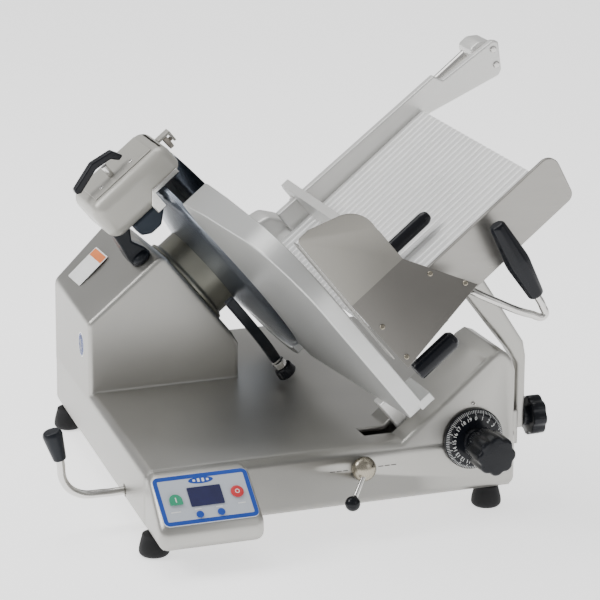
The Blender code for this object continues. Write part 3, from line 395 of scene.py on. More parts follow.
def bevel(target, width, segments=4, angle=30.0):
    change = target.modifiers.new("Bevel", "BEVEL")
    change.width = width
    change.segments = segments
    change.limit_method = "ANGLE"
    change.angle_limit = math.radians(angle)
    change.use_clamp_overlap = True


def carve(target, joined, cuts):
    """Joins and then cuts the target with helper objects, fixes its shape and removes them."""
    for helpers, operation in ((joined, "UNION"), (cuts, "DIFFERENCE")):
        for helper in helpers:
            change = target.modifiers.new(operation.title(), "BOOLEAN")
            change.operation = operation
            change.solver = "EXACT"
            change.object = helper
    graph = bpy.context.evaluated_depsgraph_get()
    mesh = bpy.data.meshes.new_from_object(target.evaluated_get(graph))
    target.modifiers.clear()
    finish = target.data.materials[0]
    target.data = mesh
    mesh.materials.clear()
    mesh.materials.append(finish)
    for face in mesh.polygons:
        face.material_index = 0
    mesh.shade_smooth()
    mesh.set_sharp_from_angle(angle=math.radians(SMOOTH))
    for helper in joined + cuts:
        bpy.data.objects.remove(helper)


def fluted(name, origin, axis, radius, length, finish, body, replaced=(), lobes=8, depth=0.1):
    """A hand knob with scooped sides between its lobes, and rounded rims."""
    up = axis.normalized()
    side = Z if abs(up.dot(Z)) < 0.9 else X
    side = (side - up * side.dot(up)).normalized()
    steps = lobes * 16
    rows = ((0, 0.9), (0.03, 0.97), (0.08, 1.0), (0.86, 1.0), (0.94, 0.975), (0.985, 0.92), (1.0, 0.84))
    bm = bmesh.new()
    rings = []
    for share, scale in rows:
        ring = []
        for i in range(steps):
            turn = 2.0 * math.pi * i / steps
            scoop = (0.5 - 0.5 * math.cos(lobes * turn)) ** 1.6
            reach = radius * scale * (1.0 - depth * scoop)
            ring.append(bm.verts.new((reach * math.cos(turn), reach * math.sin(turn), length * share)))
        rings.append(ring)
    for first, second in zip(rings, rings[1:]):
        bridge(bm, first, second)
    bm.faces.new(rings[0][::-1])
    bm.faces.new(rings[-1])
    return piece(name, bm, axes(origin, side, up.cross(side)), finish, body, replaced, 50.0)


def arc(centre, radius, start, end, steps):
    """Points on a circle, from one angle to another in degrees."""
    points = []
    for i in range(steps + 1):
        turn = math.radians(start + (end - start) * i / steps)
        points.append((centre[0] + radius * math.cos(turn), centre[1] + radius * math.sin(turn)))
    return points


def rounded(low, high, radius, steps=8):
    """A rectangle's outline with round corners."""
    points = []
    spots = (
        (high[0] - radius, high[1] - radius, 0),
        (low[0] + radius, high[1] - radius, 90.0),
        (low[0] + radius, low[1] + radius, 180.0),
        (high[0] - radius, low[1] + radius, 270.0),
    )
    for x, y, start in spots:
        points += arc((x, y), radius, start, start + 90.0, steps)
    return points


def bar(x, y, half, tall, radius, steps=4):
    """A round-cornered bar's outline about its middle, from half its width and half its height."""
    return rounded((x - half, y - tall), (x + half, y + tall), radius, steps)


def screw_head(name, spot, out, radius, body, finish=STEEL):
    """A low domed screw head with a straight slot."""
    height = radius * 0.45
    profile = [(0, 0), (radius, 0), (radius, height * 0.4), (radius * 0.75, height * 0.9), (0, height)]
    head = turned(name, round_edges(profile, radius * 0.2, 3), spot, out, finish, body, (), 32)
    side = out.orthogonal().normalized()
    matrix = axes(spot + out * height * 0.55, side, out.cross(side).normalized())
    reach, width = radius * 1.2, radius * 0.13
    carve(head, [], [block(name + "_cut", (-reach, -width, 0), (reach, width, height), matrix=matrix)])


# Base


def side_x(y):
    """The base's left edge, which leans in towards the back."""
    return BASE_LEFT_X + SIDE_SKEW * y


def base_outline(inset):
    back, front = BASE_BACK_Y - inset, inset
    return [
        (side_x(front) + inset, front),
        (BASE_RIGHT_X - inset, front),
        (BASE_RIGHT_X - inset, back),
        (side_x(back) + inset, back),
    ]


def local(s, n):
    """X and Z of a point given along S and N, from the front edge's middle."""
    spot = S * s + N * n
    return spot.x, spot.z


def pedestal_outline(inset, y):
    low = DECK_Z - 0.02
    left = side_x(y) + inset + STEP
    slope = PEDESTAL_SLOPE_S - inset
    right = PEDESTAL_RIGHT_X - inset
    return [
        (left, low),
        (right, low),
        (right, 0.158 - inset * 0.5),
        (right - 0.009, 0.174 - inset * 0.5),
        local(slope, 0.177),
        local(slope, PEDESTAL_PEAK_N - inset - 0.008),
        local(slope - 0.008, PEDESTAL_PEAK_N - inset),
        (left, PEDESTAL_SHOULDER_Z - inset * 0.6),
    ]


def loft(name, first, second, finish=CAST, body=None, replaced=()):
    """A solid between two outlines with as many corners."""
    bm = bmesh.new()
    front = [bm.verts.new(p) for p in first]
    back = [bm.verts.new(p) for p in second]
    bm.faces.new(front)
    bm.faces.new(back[::-1])
    bridge(bm, front, back)
    return piece(name, bm, Matrix(), finish, body, replaced)


def pedestal(name, inset):
    low, high = PEDESTAL_FRONT_Y + inset, BASE_BACK_Y - inset - STEP
    front = [at(x, low, z) for x, z in pedestal_outline(inset, low)]
    back = [at(x, high, z) for x, z in pedestal_outline(inset, high)]
    return loft(name, front, back)


def wedge(name, inset):
    top = WEDGE_TOP_Z - inset
    right = WEDGE_RIGHT_X - inset
    slope = (WEDGE_TOP_Z - DECK_Z) / WEDGE_RUN
    left = WEDGE_LEFT_X + inset * 1.6
    drop = 0.02
    outline = [
        (left - drop / slope, DECK_Z - drop),
        (right, DECK_Z - drop),
        (right, top - 0.03),
        (right - 0.004, top - 0.015),
        (right - 0.013, top - 0.004),
        (right - 0.024, top),
        (right - 0.035, top - 0.006),
    ]
    return across(name, outline, inset + STEP, WEDGE_DEPTH - inset)


def panel_box(name, inset):
    floor = BASE_Z - (0.01 if inset else 0)
    back = 0.03 if inset else 0.02
    outline = [
        (BOX_FRONT_Y + inset, floor),
        (back, floor),
        (back, DECK_Z - inset - STEP),
        (BOX_TOP_Y, DECK_Z - inset - STEP),
        (BOX_FRONT_Y + inset, BOX_LIP_Z - inset * 0.4),
    ]
    left = [at(side_x(y) + inset + STEP, y, z) for y, z in outline]
    right = [at(BOX_RIGHT_X - inset, y, z) for y, z in outline]
    return loft(name, left, right)


def base():
    """The casting: its parts joined, hollowed by the same parts made smaller, and opened."""
    plate = axes(ORIGIN + Z * BASE_Z, X, Y)
    shell = prism("base_shell", base_outline(0), DECK_Z - BASE_Z, plate, CAST, "base", ("base_casting",))
    bevel(shell, 0.012, 6)
    tower, hill, box = pedestal("tower", 0), wedge("hill", 0), panel_box("box", 0)
    bevel(tower, 0.011, 6)
    bevel(hill, 0.006, 5, 50.0)
    bevel(box, 0.012, 6)
    below = 0.01
    hollow = axes(ORIGIN + Z * (BASE_Z - below), X, Y)
    cutters = [prism("tray", base_outline(WALL), DECK_Z - WALL - BASE_Z + below, hollow)]
    cutters += [pedestal("inner_tower", WALL), wedge("inner_hill", WALL), panel_box("inner_box", WALL)]
    carve(shell, [tower, hill, box], cutters + openings())


def openings():
    """Holes for the shafts, levers and slides that pass through the shell."""
    shaft = place(PEDESTAL_SLOPE_S - 0.02, KNIFE_Y, KNIFE_N)
    lift, turn = ORIGIN + LIFT_START, ORIGIN + SELECTOR
    reach = CARRIAGE_Y + CARRIAGE_TRAVEL + 0.022
    return [
        rod("hole_shaft", shaft, shaft + S * 0.04, 0.021),
        block("hole_gauge", (0.122, 0.041, -0.012), (0.214, 0.071, 0.07), matrix=CHUTE),
        block("hole_side", (0.25, CARRIAGE_Y - 0.024, 0.074), (0.29, reach, 0.1)),
        rod("hole_index", at(DIAL_X, -0.02, DIAL_Z), at(DIAL_X, 0.02, DIAL_Z), 0.0065),
        rod("hole_lift", lift - X * 0.05, lift + X * 0.02, 0.009),
        rod("hole_inlet", at(0.1, 0.52, 0.06), at(0.1, 0.56, 0.06), 0.0105),
        rod("hole_selector", turn - Y * 0.02, turn + Y * 0.02, 0.0065),
    ]


def feet():
    for name in ("front_left", "front_right", "back_left", "back_right"):
        low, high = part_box("foot_" + name)
        spot = Vector(((low[0] + high[0]) / 2, (low[1] + high[1]) / 2, 0))
        wide, tall = (high[0] - low[0]) / 2, high[2]
        profile = [(0, 0), (wide - 0.004, 0), (wide, 0.004), (wide * 0.985, 0.011)]
        profile += [(wide * 0.9, tall * 0.62), (wide * 0.8, tall * 0.86), (wide * 0.77, tall), (0, tall)]
        shape = round_edges(profile, 0.003)
        turned("rubber_foot_" + name, shape, spot, Z, RUBBER, "base", ("foot_" + name,), 64)


# Control panel


def panel_axes(lift):
    """Local axes on the box's sloping face, lifted off it."""
    tilt = math.atan2(DECK_Z + 0.002 - BOX_LIP_Z, BOX_TOP_Y - BOX_FRONT_Y)
    up = Vector((0, math.cos(tilt), math.sin(tilt)))
    origin = at(side_x(BOX_FRONT_Y), BOX_FRONT_Y, BOX_LIP_Z) + X.cross(up) * lift
    return axes(origin, X, up)


PANEL_WIDTH = BOX_RIGHT_X - side_x(BOX_FRONT_Y)
PANEL_RISE = math.hypot(DECK_Z - BOX_LIP_Z, BOX_TOP_Y - BOX_FRONT_Y)
FILM_THICK, KEY_THICK = 0.0016, 0.0012


def framed(name, low, high, radius, width, depth, matrix, finish, body):
    """A raised line round a rounded rectangle."""
    outer = prism(name, rounded(low, high, radius), depth, matrix, finish, body)
    low, high = (low[0] + width, low[1] + width), (high[0] - width, high[1] - width)
    deep = matrix @ Matrix.Translation((0, 0, -0.001))
    inner = rounded(low, high, max(radius - width, 0.001))
    carve(outer, [], [prism(name + "_cut", inner, depth + 0.002, deep)])


def ellipse(centre, wide, tall, steps=40):
    points = []
    for i in range(steps):
        turn = 2.0 * math.pi * i / steps
        points.append((centre[0] + wide * math.cos(turn), centre[1] + tall * math.sin(turn)))
    return points


def panel():
    margin, inset = 0.007, 0.0006
    low, high = (margin, margin * 0.7), (PANEL_WIDTH - margin, PANEL_RISE - margin * 0.6)
    film = rounded(low, high, 0.008)
    made = prism("panel_film", film, FILM_THICK, panel_axes(GAP), PANEL, "base", ("control_panel",))
    bevel(made, 0.0003, 2)
    top = panel_axes(GAP + FILM_THICK)
    low, high = (low[0] + inset, low[1] + inset), (high[0] - inset, high[1] - inset)
    framed("panel_border", low, high, 0.0075, 0.0056, 0.00022, top, BLUE, "base")
    window = rounded((PANEL_WIDTH * 0.345, PANEL_RISE * 0.36), (PANEL_WIDTH * 0.66, PANEL_RISE * 0.7), 0.001)
    prism("display", window, 0.0008, panel_axes(FILM_THICK + 2 * GAP), NAVY, "base", ("display_window",))
    x, y = PANEL_WIDTH * 0.5, PANEL_RISE * 0.82
    prism("panel_badge", ellipse((x, y), 0.0165, 0.0048), 0.0003, top, BLUE, "base")
    for i, (along, tall) in enumerate(((-0.009, 0.0016), (-0.003, 0.0026), (0.003, 0.0026), (0.009, 0.0016))):
        mark = bar(x + along, y, 0.0016, tall, 0.0008)
        prism(f"panel_badge_bar_{i}", mark, 0.00045, top, WHITE_INK, "base")
    panel_keys()
    lines = ((0.19, 0.3, 0.013), (0.4, 0.315, 0.009), (0.6, 0.315, 0.009), (0.815, 0.33, 0.01))
    for i, (along, up, length) in enumerate(lines):
        line = bar(PANEL_WIDTH * along, PANEL_RISE * up, length / 2, 0.0007, 0.0005, 3)
        prism(f"panel_line_{i}", line, 0.0002, top, WHITE_INK, "base")


def panel_keys():
    """The start and stop keys with their marks, and two round pads."""
    keys = (
        ("start_button", 0.215, 0.5, 0.0085, GREEN, "start"),
        ("stop_button", 0.8, 0.53, 0.0085, RED, "stop"),
        ("down_button", 0.4, 0.208, 0.005, BLUE, "slower"),
        ("up_button", 0.6, 0.208, 0.005, BLUE, "faster"),
    )
    matrix = panel_axes(FILM_THICK + GAP + KEY_THICK)
    out = (matrix.to_3x3() @ Z).normalized()
    up = out.cross(X).normalized()
    for node, along, rise, radius, finish, body in keys:
        spot = matrix @ Vector((PANEL_WIDTH * along, PANEL_RISE * rise, 0))
        top = spot + out * (KEY_THICK - 0.00002)
        if body == "start":
            shape = arc((0, 0), radius, 0, 180.0, 24) + [(-radius, -radius * 0.8), (radius, -radius * 0.8)]
            key = prism("key_start", shape, KEY_THICK, axes(spot, X, up), finish, body, (node,))
            bevel(key, 0.0003, 2)
            mark = bar(0, 0, 0.0007, 0.0036, 0.0006)
            prism("start_mark", mark, 0.0002, axes(top, X, up), WHITE_INK, body)
            continue
        profile = [(0, 0), (radius, 0), (radius, 0.0008), (radius * 0.8, KEY_THICK), (0, KEY_THICK)]
        turned("key_" + body, round_edges(profile, 0.0003, 3), spot, out, finish, body, (node,), 48)
        if body == "stop":
            ring = [(0.002, 0), (0.0031, 0), (0.0031, 0.0002), (0.002, 0.0002)]
            turned("stop_mark", ring, top, out, WHITE_INK, body, (), 32)


# Knife, its cover and the ring round it


def knife_point(s, radius=0, turn=0):
    angle = math.radians(turn)
    return place(s, KNIFE_Y - radius * math.cos(angle), KNIFE_N + radius * math.sin(angle))


def ring_sector(name, inner, outer, start, end, low, high, finish, body, replaced=(), steps=90):
    """Part of a ring round the knife, from s = low to s = high."""
    centre = (KNIFE_Y, KNIFE_N)
    points = arc(centre, outer, 180.0 - start, 180.0 - end, steps)
    points += arc(centre, inner, 180.0 - end, 180.0 - start, steps)
    return along_s(name, points, low, high, finish, body, replaced)


def knife():
    r, thick, dish, hub = KNIFE_RADIUS, 0.004, 0.013, 0.025
    profile = [
        (hub, -dish - thick), (r * 0.72, -dish - thick), (r * 0.8, -dish * 0.82 - thick),
        (r * 0.93, -thick - 0.0015), (r - 0.0003, -0.0006), (r, -0.0003), (r - 0.0003, 0), (r * 0.94, -0.001),
        (r * 0.92, -0.0022), (r * 0.82, -dish * 0.72), (r * 0.74, -dish), (hub, -dish),
    ]
    turned("knife_blade", profile, knife_point(KNIFE_S), S, BLADE, "knife_group", ("knife",), 180)
    cap, front = r * 0.71, KNIFE_S - dish + GAP
    profile = [(0, front), (cap, front), (cap, front + 0.004), (cap * 0.9, front + 0.008), (0, front + 0.011)]
    shape = round_edges(profile, 0.002)
    turned("knife_cover_plate", shape, knife_point(0), S, GAUGE, "knife_group", ("knife_cap",), 120)


def knife_housing():
    """The dish behind the knife, the hub that carries it and the ring round its far side."""
    rim, start = KNIFE_RADIUS + 0.001, 0.062 + GAP
    profile = [
        (start, 0.136), (0.1, 0.1432), (0.135, 0.1502), (rim - 0.004, 0.1555), (rim, 0.158), (rim, 0.163),
        (rim - 0.004, 0.16), (0.135, 0.1545), (0.1, 0.1474), (start, 0.14),
    ]
    turned("back_cover", profile, knife_point(0), S, DISH, "base", ("back_dish",), 160)
    foot, length, bore = knife_point(PEDESTAL_SLOPE_S + GAP), 0.14 - PEDESTAL_SLOPE_S - GAP, 0.0223
    profile = [(bore, 0), (0.068, 0), (0.068, 0.005), (0.062, 0.008), (0.062, length), (bore, length)]
    turned("knife_hub", round_edges(profile, 0.002), foot, S, HUB, "base", ("knife_housing",), 120)
    inner, low, high = KNIFE_RADIUS + 0.0013, 0.15, GAUGE_FACE_S - 0.0005
    ring = ring_sector(
        "knife_ring", inner, inner + 0.012, 118.0, 296.0, low, high, GAUGE, "base", ("ring_guard",),
    )
    bevel(ring, 0.0022, 4, 50.0)


def deflector():
    """The strip under the knife's near edge, and the hand knob that holds it."""
    middle, half, low, high = KNIFE_RADIUS + 0.001, 0.006, 0.112, 0.126
    ends = (middle - half, middle + half, -48.0, 5.0, low, high)
    strip = ring_sector("deflector_strip", *ends, SATIN_BLACK, "base", ("slice_deflector",), 48)
    bevel(strip, 0.0022, 4, 50.0)
    foot = knife_point(0.5 * (low + high), middle, -47.0) - N * 0.033
    profile = [(0, 0), (0.012, 0), (0.0145, 0.003), (0.0125, 0.015), (0, 0.016)]
    knob = round_edges(profile, 0.0015)
    turned("deflector_hand_knob", knob, foot, N, BLACK, "deflector_screw", ("deflector_knob",), 48)
    rod("deflector_collar", foot + N * 0.0155, foot + N * 0.026, 0.009, STEEL, "deflector_screw")


# Thickness gauge


def gauge_outline():
    """The plate's edge in Y and N, hollowed round the knife."""
    near, top, low = GAUGE_NEAR_Y, GAUGE_TOP_N, GAUGE_BOTTOM_N
    points = [(near + 0.01, low), (0.27, low + 0.004)]
    points += arc((KNIFE_Y, KNIFE_N), KNIFE_RADIUS + 0.0045, 230.0, 140.0, 30)
    points += [(0.262, 0.34), (0.25, top - 0.004), (0.235, top), (0.16, top + 0.001), (0.09, top - 0.006)]
    points += arc((0.065, top - 0.118), 0.11, 90.0, 180.0, 24)
    points += [(near, low + 0.012), (near + 0.003, low + 0.004)]
    return points


def gauge_back(y):
    """The plate's back, which falls away from its face towards the knife."""
    share = (y - GAUGE_NEAR_Y) / (KNIFE_Y - KNIFE_RADIUS - GAUGE_NEAR_Y)
    return GAUGE_FACE_S - 0.024 - 0.018 * min(share, 1.0)


def gauge():
    outline = gauge_outline()
    face = [place(GAUGE_FACE_S, y, n) for y, n in outline]
    back = [place(gauge_back(y), y, n) for y, n in outline]
    plate = loft("gauge_casting", face, back, GAUGE, "gauge", ("gauge_plate",))
    bevel(plate, 0.0022, 4, 40.0)
    lip_low = (GAUGE_FACE_S - 0.006, GAUGE_NEAR_Y + 0.0005, GAUGE_BOTTOM_N + 0.0005)
    lip_high = (GAUGE_FACE_S + 0.016, 0.02, GAUGE_BOTTOM_N + 0.014)
    lip = block("gauge_lip", lip_low, lip_high, GAUGE, "gauge", (), CHUTE)
    bevel(lip, 0.0015, 3)
    low, high = -0.039, GAUGE_BOTTOM_N - GAP
    arm = [(0.163, low), (0.19, low), (0.19, high), (0.163, high)]
    bracket = across_chute("gauge_foot", arm, 0.044, 0.068, BRACKET, "gauge", ("gauge_bracket",))
    bevel(bracket, 0.002, 3)


def text_mesh(text, size):
    """The outline of some figures as flat mesh data, centred on its own middle."""
    curve = bpy.data.curves.new("figures", "FONT")
    curve.body = text
    curve.size = size
    curve.align_x = "CENTER"
    curve.align_y = "CENTER"
    curve.resolution_u = 3
    holder = add("figures", curve)
    bpy.context.view_layer.update()
    graph = bpy.context.evaluated_depsgraph_get()
    mesh = bpy.data.meshes.new_from_object(holder.evaluated_get(graph))
    bpy.data.objects.remove(holder)
    return mesh


def dial():
    """The numbered disc with its pointer, and the knob that turns it."""
    centre = at(DIAL_X, 0, DIAL_Z)
    bore, back, front = 0.0063, -0.003, -0.011
    profile = [(bore, back), (DIAL_RADIUS, back), (DIAL_RADIUS, -0.006)]
    profile += [(DIAL_RADIUS - 0.007, front), (bore, front)]
    turned("dial_face", round_edges(profile, 0.0006, 3), centre, Y, BLACK, "index", ("dial_disc",), 120)
    dial_ticks(centre)
    dial_figures(centre)
    fluted("index_hand_knob", centre - Y * 0.036, -Y, 0.027, 0.046, BLACK, "index", ("index_knob",))
    profile = [(0, 0.0115), (0.0175, 0.0115), (0.015, 0.016), (0.015, 0.032), (0.019, 0.0375), (0, 0.0375)]
    turned("index_knob_neck", round_edges(profile, 0.001), centre, -Y, BLACK, "index", (), 64)
    pin = at(DIAL_X + 0.001, 0, DIAL_Z + DIAL_RADIUS + 0.006)
    profile = [(0, 0), (0.0024, 0), (0.0024, 0.0012), (0.0012, 0.0022), (0.0008, 0.005), (0, 0.0054)]
    turned("dial_pointer", profile, pin, -Y, STEEL, "base", (), 24)


def dial_ticks(centre):
    """A hundred ticks on the disc's sloping rim, every fifth one longer and thicker."""
    bm = bmesh.new()
    r, count = DIAL_RADIUS, 100
    for i in range(count):
        turn = 2.0 * math.pi * i / count
        length, half = (0.0072, 0.00026) if i % 5 == 0 else (0.0045, 0.0002)
        inner, outer = r - length, r - 0.0012
        for reach, side in ((inner, -1), (outer, -1), (outer, 1), (inner, 1)):
            angle = turn + side * half / reach
            depth = -0.0062 - 0.005 * (r - reach) / 0.007 - 0.00012
            bm.verts.new((reach * math.sin(angle), max(depth, -0.01118), reach * math.cos(angle)))
        bm.verts.ensure_lookup_table()
        bm.faces.new(bm.verts[-4:])
    draw_out(bm, (0, 0.0003, 0))
    piece("dial_ticks", bm, Matrix.Translation(centre), WHITE_INK, "index")


def dial_figures(centre):
    """The figures 0 to 19 round the disc's flat."""
    bm = bmesh.new()
    count = 20
    for i in range(count):
        turn = -2.0 * math.pi * i / count
        spin = Matrix.Rotation(turn, 4, "Z") @ Matrix.Translation((0, DIAL_RADIUS - 0.0112, 0))
        stand = axes(centre - Y * 0.01115, X, Z) @ spin
        start = len(bm.verts)
        bm.from_mesh(text_mesh(str(i), 0.0072))
        bm.verts.ensure_lookup_table()
        for vertex in bm.verts[start:]:
            vertex.co = stand @ vertex.co
    piece("dial_figures", bm, Matrix(), WHITE_INK, "index")


# Carriage and chute


def carriage():
    """The truck on its rod, with the plate the chute's arm is clamped to."""
    low, high = CARRIAGE_Y - 0.02, CARRIAGE_Y + 0.02
    truck = block("truck", (0.218, low, 0.054), (0.256, high, 0.094), CAST, "carriage", ("carriage_truck",))
    lug = block("lug", (0.25, low + 0.004, 0.078), (ARM_X - 0.004, high - 0.004, 0.096))
    plate = block("plate", (0.2715, low, 0.078), (ARM_X - GAP, high, 0.124))
    bore = rod("bore", at(0.236, low - 0.02, 0.072), at(0.236, high + 0.02, 0.072), 0.0103)
    carve(truck, [lug, plate], [bore])


def chute_arm():
    """The bent arm from the carriage's plate up to the chute, and the knob that locks it."""
    under = FLOOR_N - FLOOR_THICK - GAP
    left, right = ARM_X, ARM_X + ARM_THICK
    outline = [(left, ARM_LOW_Z), (right, ARM_LOW_Z), (right, 0.196), (right - 0.004, 0.216)]
    outline += [local(0.385, under), local(0.345, under), (left - 0.012, 0.206), (left, 0.186)]
    half = 0.013
    arm = across("chute_post", outline, CARRIAGE_Y - half, CARRIAGE_Y + half, CAST, "chute", ("chute_arm",))
    bevel(arm, 0.004, 5)
    pivot = at(right + GAP, CARRIAGE_Y, ARM_PIVOT_Z)
    fluted("lock_hand_knob", pivot + X * 0.008, X, 0.027, 0.02, BLACK, "lock_knob", ("arm_knob",))
    rod("lock_collar", pivot, pivot + X * 0.0085, 0.013, BLACK, "lock_knob")


def floor_plate():
    """The floor's rounded ridges, which run up the chute."""
    ridges, steps, height = 26, 10, 0.0022
    pitch = (CHUTE_FAR_Y - CHUTE_NEAR_Y) / ridges
    points = [(CHUTE_NEAR_Y, FLOOR_N - FLOOR_THICK), (CHUTE_FAR_Y, FLOOR_N - FLOOR_THICK)]
    for i in reversed(range(ridges * steps + 1)):
        phase = (i % steps) / steps
        lift = height * min(1.0, 1.6 * math.sin(math.pi * phase)) if phase else 0
        points.append((CHUTE_NEAR_Y + pitch * i / steps, FLOOR_N - height + lift))
    along_s("ridged_floor", points, CHUTE_KNIFE_S, CHUTE_TOP_S, WHITE_METAL, "chute", ("chute_floor",))


def walls():
    """The chute's near side, a sheet, and its far side, a thick rail."""
    near = [(0.222, 0.214), (0.3, 0.216)]
    near += arc((0.509, 0.2), 0.016, 90.0, -12.0, 8)
    near += arc((0.505, 0.16), 0.012, -12.0, -90.0, 6)
    near += [(0.345, 0.148), (0.303, 0.193), (0.29, 0.141), (0.222, 0.141)]
    back = CHUTE_NEAR_Y - GAP
    wall = across_chute("near_side", near, back - 0.006, back, SHEET, "chute", ("near_wall",))
    bevel(wall, 0.0012, 3, 50.0)
    far = [(0.25, 0.2), (0.5, 0.196), (0.606, 0.168), (0.614, 0.172), (0.634, 0.206), (0.628, 0.213)]
    far += [(0.54, 0.22), (0.534, 0.234), (0.25, 0.24)]
    front = CHUTE_FAR_Y + GAP
    rail = across_chute("far_side", far, front, front + RAIL_THICK, BRACKET, "chute", ("far_wall",))
    bevel(rail, 0.0022, 4, 40.0)
    for i, (s, n) in enumerate(((0.6215, 0.203), (0.612, 0.183))):
        screw_head(f"rail_screw_{i}", place(s, front + 0.0004, n), -Y, 0.005, "chute")


def hand_guard():
    """The bent sheet by the near wall: an upright, a flap with screws, a grip and the teeth."""
    plane, out, fold, edge = -0.072, -0.112, 0.252, 0.2065
    inner_foot, outer_foot = place(edge, out, 0.155), place(0.341, out, 0.174)
    upright = [(edge, fold), (0.294, fold), (0.2935, 0.3)]
    upright += arc((0.2505, 0.316), 0.0425, -8.0, 66.0, 16)
    upright += [(0.226, 0.37)]
    upright += arc((edge + 0.007, 0.363), 0.007, 90.0, 180.0, 5)
    bm = bmesh.new()
    corners = [bm.verts.new(place(s, plane, n)) for s, n in upright]
    bm.faces.new(corners)
    bm.faces.new((corners[1], corners[0], bm.verts.new(inner_foot), bm.verts.new(outer_foot)))
    made = piece("guard_plate", bm, Matrix(), GUARD, "chute", ("hand_guard",), 12.0)
    # The flap's face takes the darker copy of the guard finish, which is painted shade on the same sheet
    made.data.materials.append(SHADED_GUARD_FLAP)
    made.data.polygons[1].material_index = 1
    thicken = made.modifiers.new("Solidify", "SOLIDIFY")
    thicken.thickness = 0.0025
    thicken.offset = 0
    bevel(made, 0.0008, 3, 50.0)
    flap = (outer_foot - place(0.294, plane, fold)).cross(S)
    flap = flap.normalized() if flap.y < 0 else -flap.normalized()
    for i, (along, down) in enumerate(((0.93, 0.42), (0.97, 0.86), (0.1, 0.44), (0.06, 0.9))):
        left = place(edge, plane, fold).lerp(inner_foot, down)
        right = place(0.294, plane, fold).lerp(outer_foot, down)
        screw_head(f"guard_screw_{i}", left.lerp(right, along) + flap * 0.0013, flap, 0.0034, "chute", DOME)
    guard_teeth(plane)
    start = place(0.214, -0.086, 0.128)
    profile = [(0, 0), (0.012, 0), (0.0125, 0.004), (0.0125, 0.06), (0.008, 0.066), (0, 0.066)]
    turned("guard_grip", round_edges(profile, 0.002), start, S, BLACK, "chute", ("guard_knob",), 48)


def guard_teeth(plane):
    """The guard's narrow return beside the gauge plate, with a row of small teeth along its edge."""
    low, high, pitch, far = 0.156, 0.362, 0.0062, -0.047
    points = [(plane, high), (plane, low)]
    count = int((high - low) / pitch)
    for i in range(count):
        start = low + pitch * i
        for reach, share in ((far - 0.003, 0.15), (far, 0.5), (far - 0.003, 0.9)):
            points.append((reach, start + pitch * share))
    strip = along_s("guard_teeth", points, 0.204, 0.2058, SHEET, "chute")
    bevel(strip, 0.0003, 2)


def chute_handle():
    """The bent bar on the near wall and the grip on its end."""
    near, off = CHUTE_NEAR_Y - 0.0066, 0.028
    bends = (
        (0.332, GAP, 0.163), (0.332, 0.012, 0.163), (0.345, 0.027, 0.135), (0.372, off, 0.082),
        (0.384, off, 0.068), (0.39, off, 0.08), (0.3925, off, 0.096),
    )
    route = [place(s, near - out, n) for s, out, n in bends]
    bent_rod("handle_bar", route, 0.005, STEEL, "chute", ("chute_handle",))
    start = past_end(route)
    end = place(0.409, near - off, 0.21)
    length = (end - start).length
    profile = [(0, 0), (0.0095, 0), (0.011, 0.003), (0.0165, length * 0.46), (0.0165, length * 0.52)]
    profile += [(0.012, length - 0.012), (0.011, length - 0.003), (0.0085, length), (0, length)]
    grip = turned("handle_grip", profile, start, end - start, BLACK, "chute", ("chute_grip",), 10, 20.0)
    bevel(grip, 0.0016, 4, 15.0)


def pusher():
    """The rod over the far wall between its two brackets, and the arm that slides along it."""
    y, n = PUSHER_ROD_Y, PUSHER_ROD_N
    wall, back = CHUTE_FAR_Y + GAP + RAIL_THICK + GAP, y + 0.013
    low = [(0.206, n - 0.026), (0.256, n - 0.026), (0.256, n + 0.014), (0.24, n + 0.036)]
    low += [(0.222, n + 0.04), (0.206, n + 0.028)]
    high = [(0.594, n - 0.018), (0.628, n - 0.018), (0.628, n + 0.004), (0.614, n + 0.014)]
    high += [(0.6, n + 0.014), (0.594, n + 0.006)]
    for place_name, outline, width in (("lower", low, 0.005), ("end", high, 0.004)):
        node = f"pusher_{place_name}_bracket"
        made = across_chute(place_name + "_rod_bracket", outline, wall, back, BRACKET, "chute", (node,))
        bevel(made, width, 5)
        carve(made, [], [rod("bore", place(0.216, y, n), place(0.617, y, n), 0.0073)])
    rod("pusher_bar", place(0.2163, y, n), place(0.6167, y, n), 0.007, STEEL, "chute", ("pusher_rod",))
    inner, outer = 0.0113, 0.018
    profile = [(inner, 0), (outer, 0), (outer, PUSHER_THICK), (inner, PUSHER_THICK)]
    body = turned("pusher_plate", profile, place(PUSHER_S, y, n), S, BRACKET, "pusher", ("pusher_arm",), 64)
    over = [(0.334, n + 0.01), (0.332, 0.248), (0.322, 0.258), (-0.02, 0.258), (-0.026, 0.252)]
    over += [(-0.026, 0.214), (-0.023, 0.2115), (0.284, 0.2115), (0.2915, 0.2435), (0.316, 0.2435)]
    over.append((0.323, n + 0.014))
    carve(body, [along_s("bar", over, PUSHER_S + 0.001, PUSHER_S + PUSHER_THICK - 0.001)], [])
    bevel(body, 0.001, 2, 50.0)
    length, start = 0.072, place(PUSHER_S + PUSHER_THICK + GAP, 0.01, 0.231)
    profile = [(0, 0), (0.0102, 0), (0.0102, 0.006), (0.0092, 0.01)]
    profile += [(0.0092, length - 0.008), (0.006, length - 0.001), (0, length)]
    turned("pusher_grip", round_edges(profile, 0.003), start, S, BLACK, "pusher", ("pusher_handle",), 56)


# Sharpener


def soft_box(name, low, high, radius, finish, body, replaced=(), segments=8):
    """A box in S, Y and N with round corners."""
    made = block(name, low, high, finish, body, replaced, CHUTE)
    bevel(made, radius, segments)
    return made


SHARPENER_MID_Y = 0.5 * (HOUSING_Y[0] + HOUSING_Y[1])
SKIRT_N = HOUSING_N[0] - 0.022


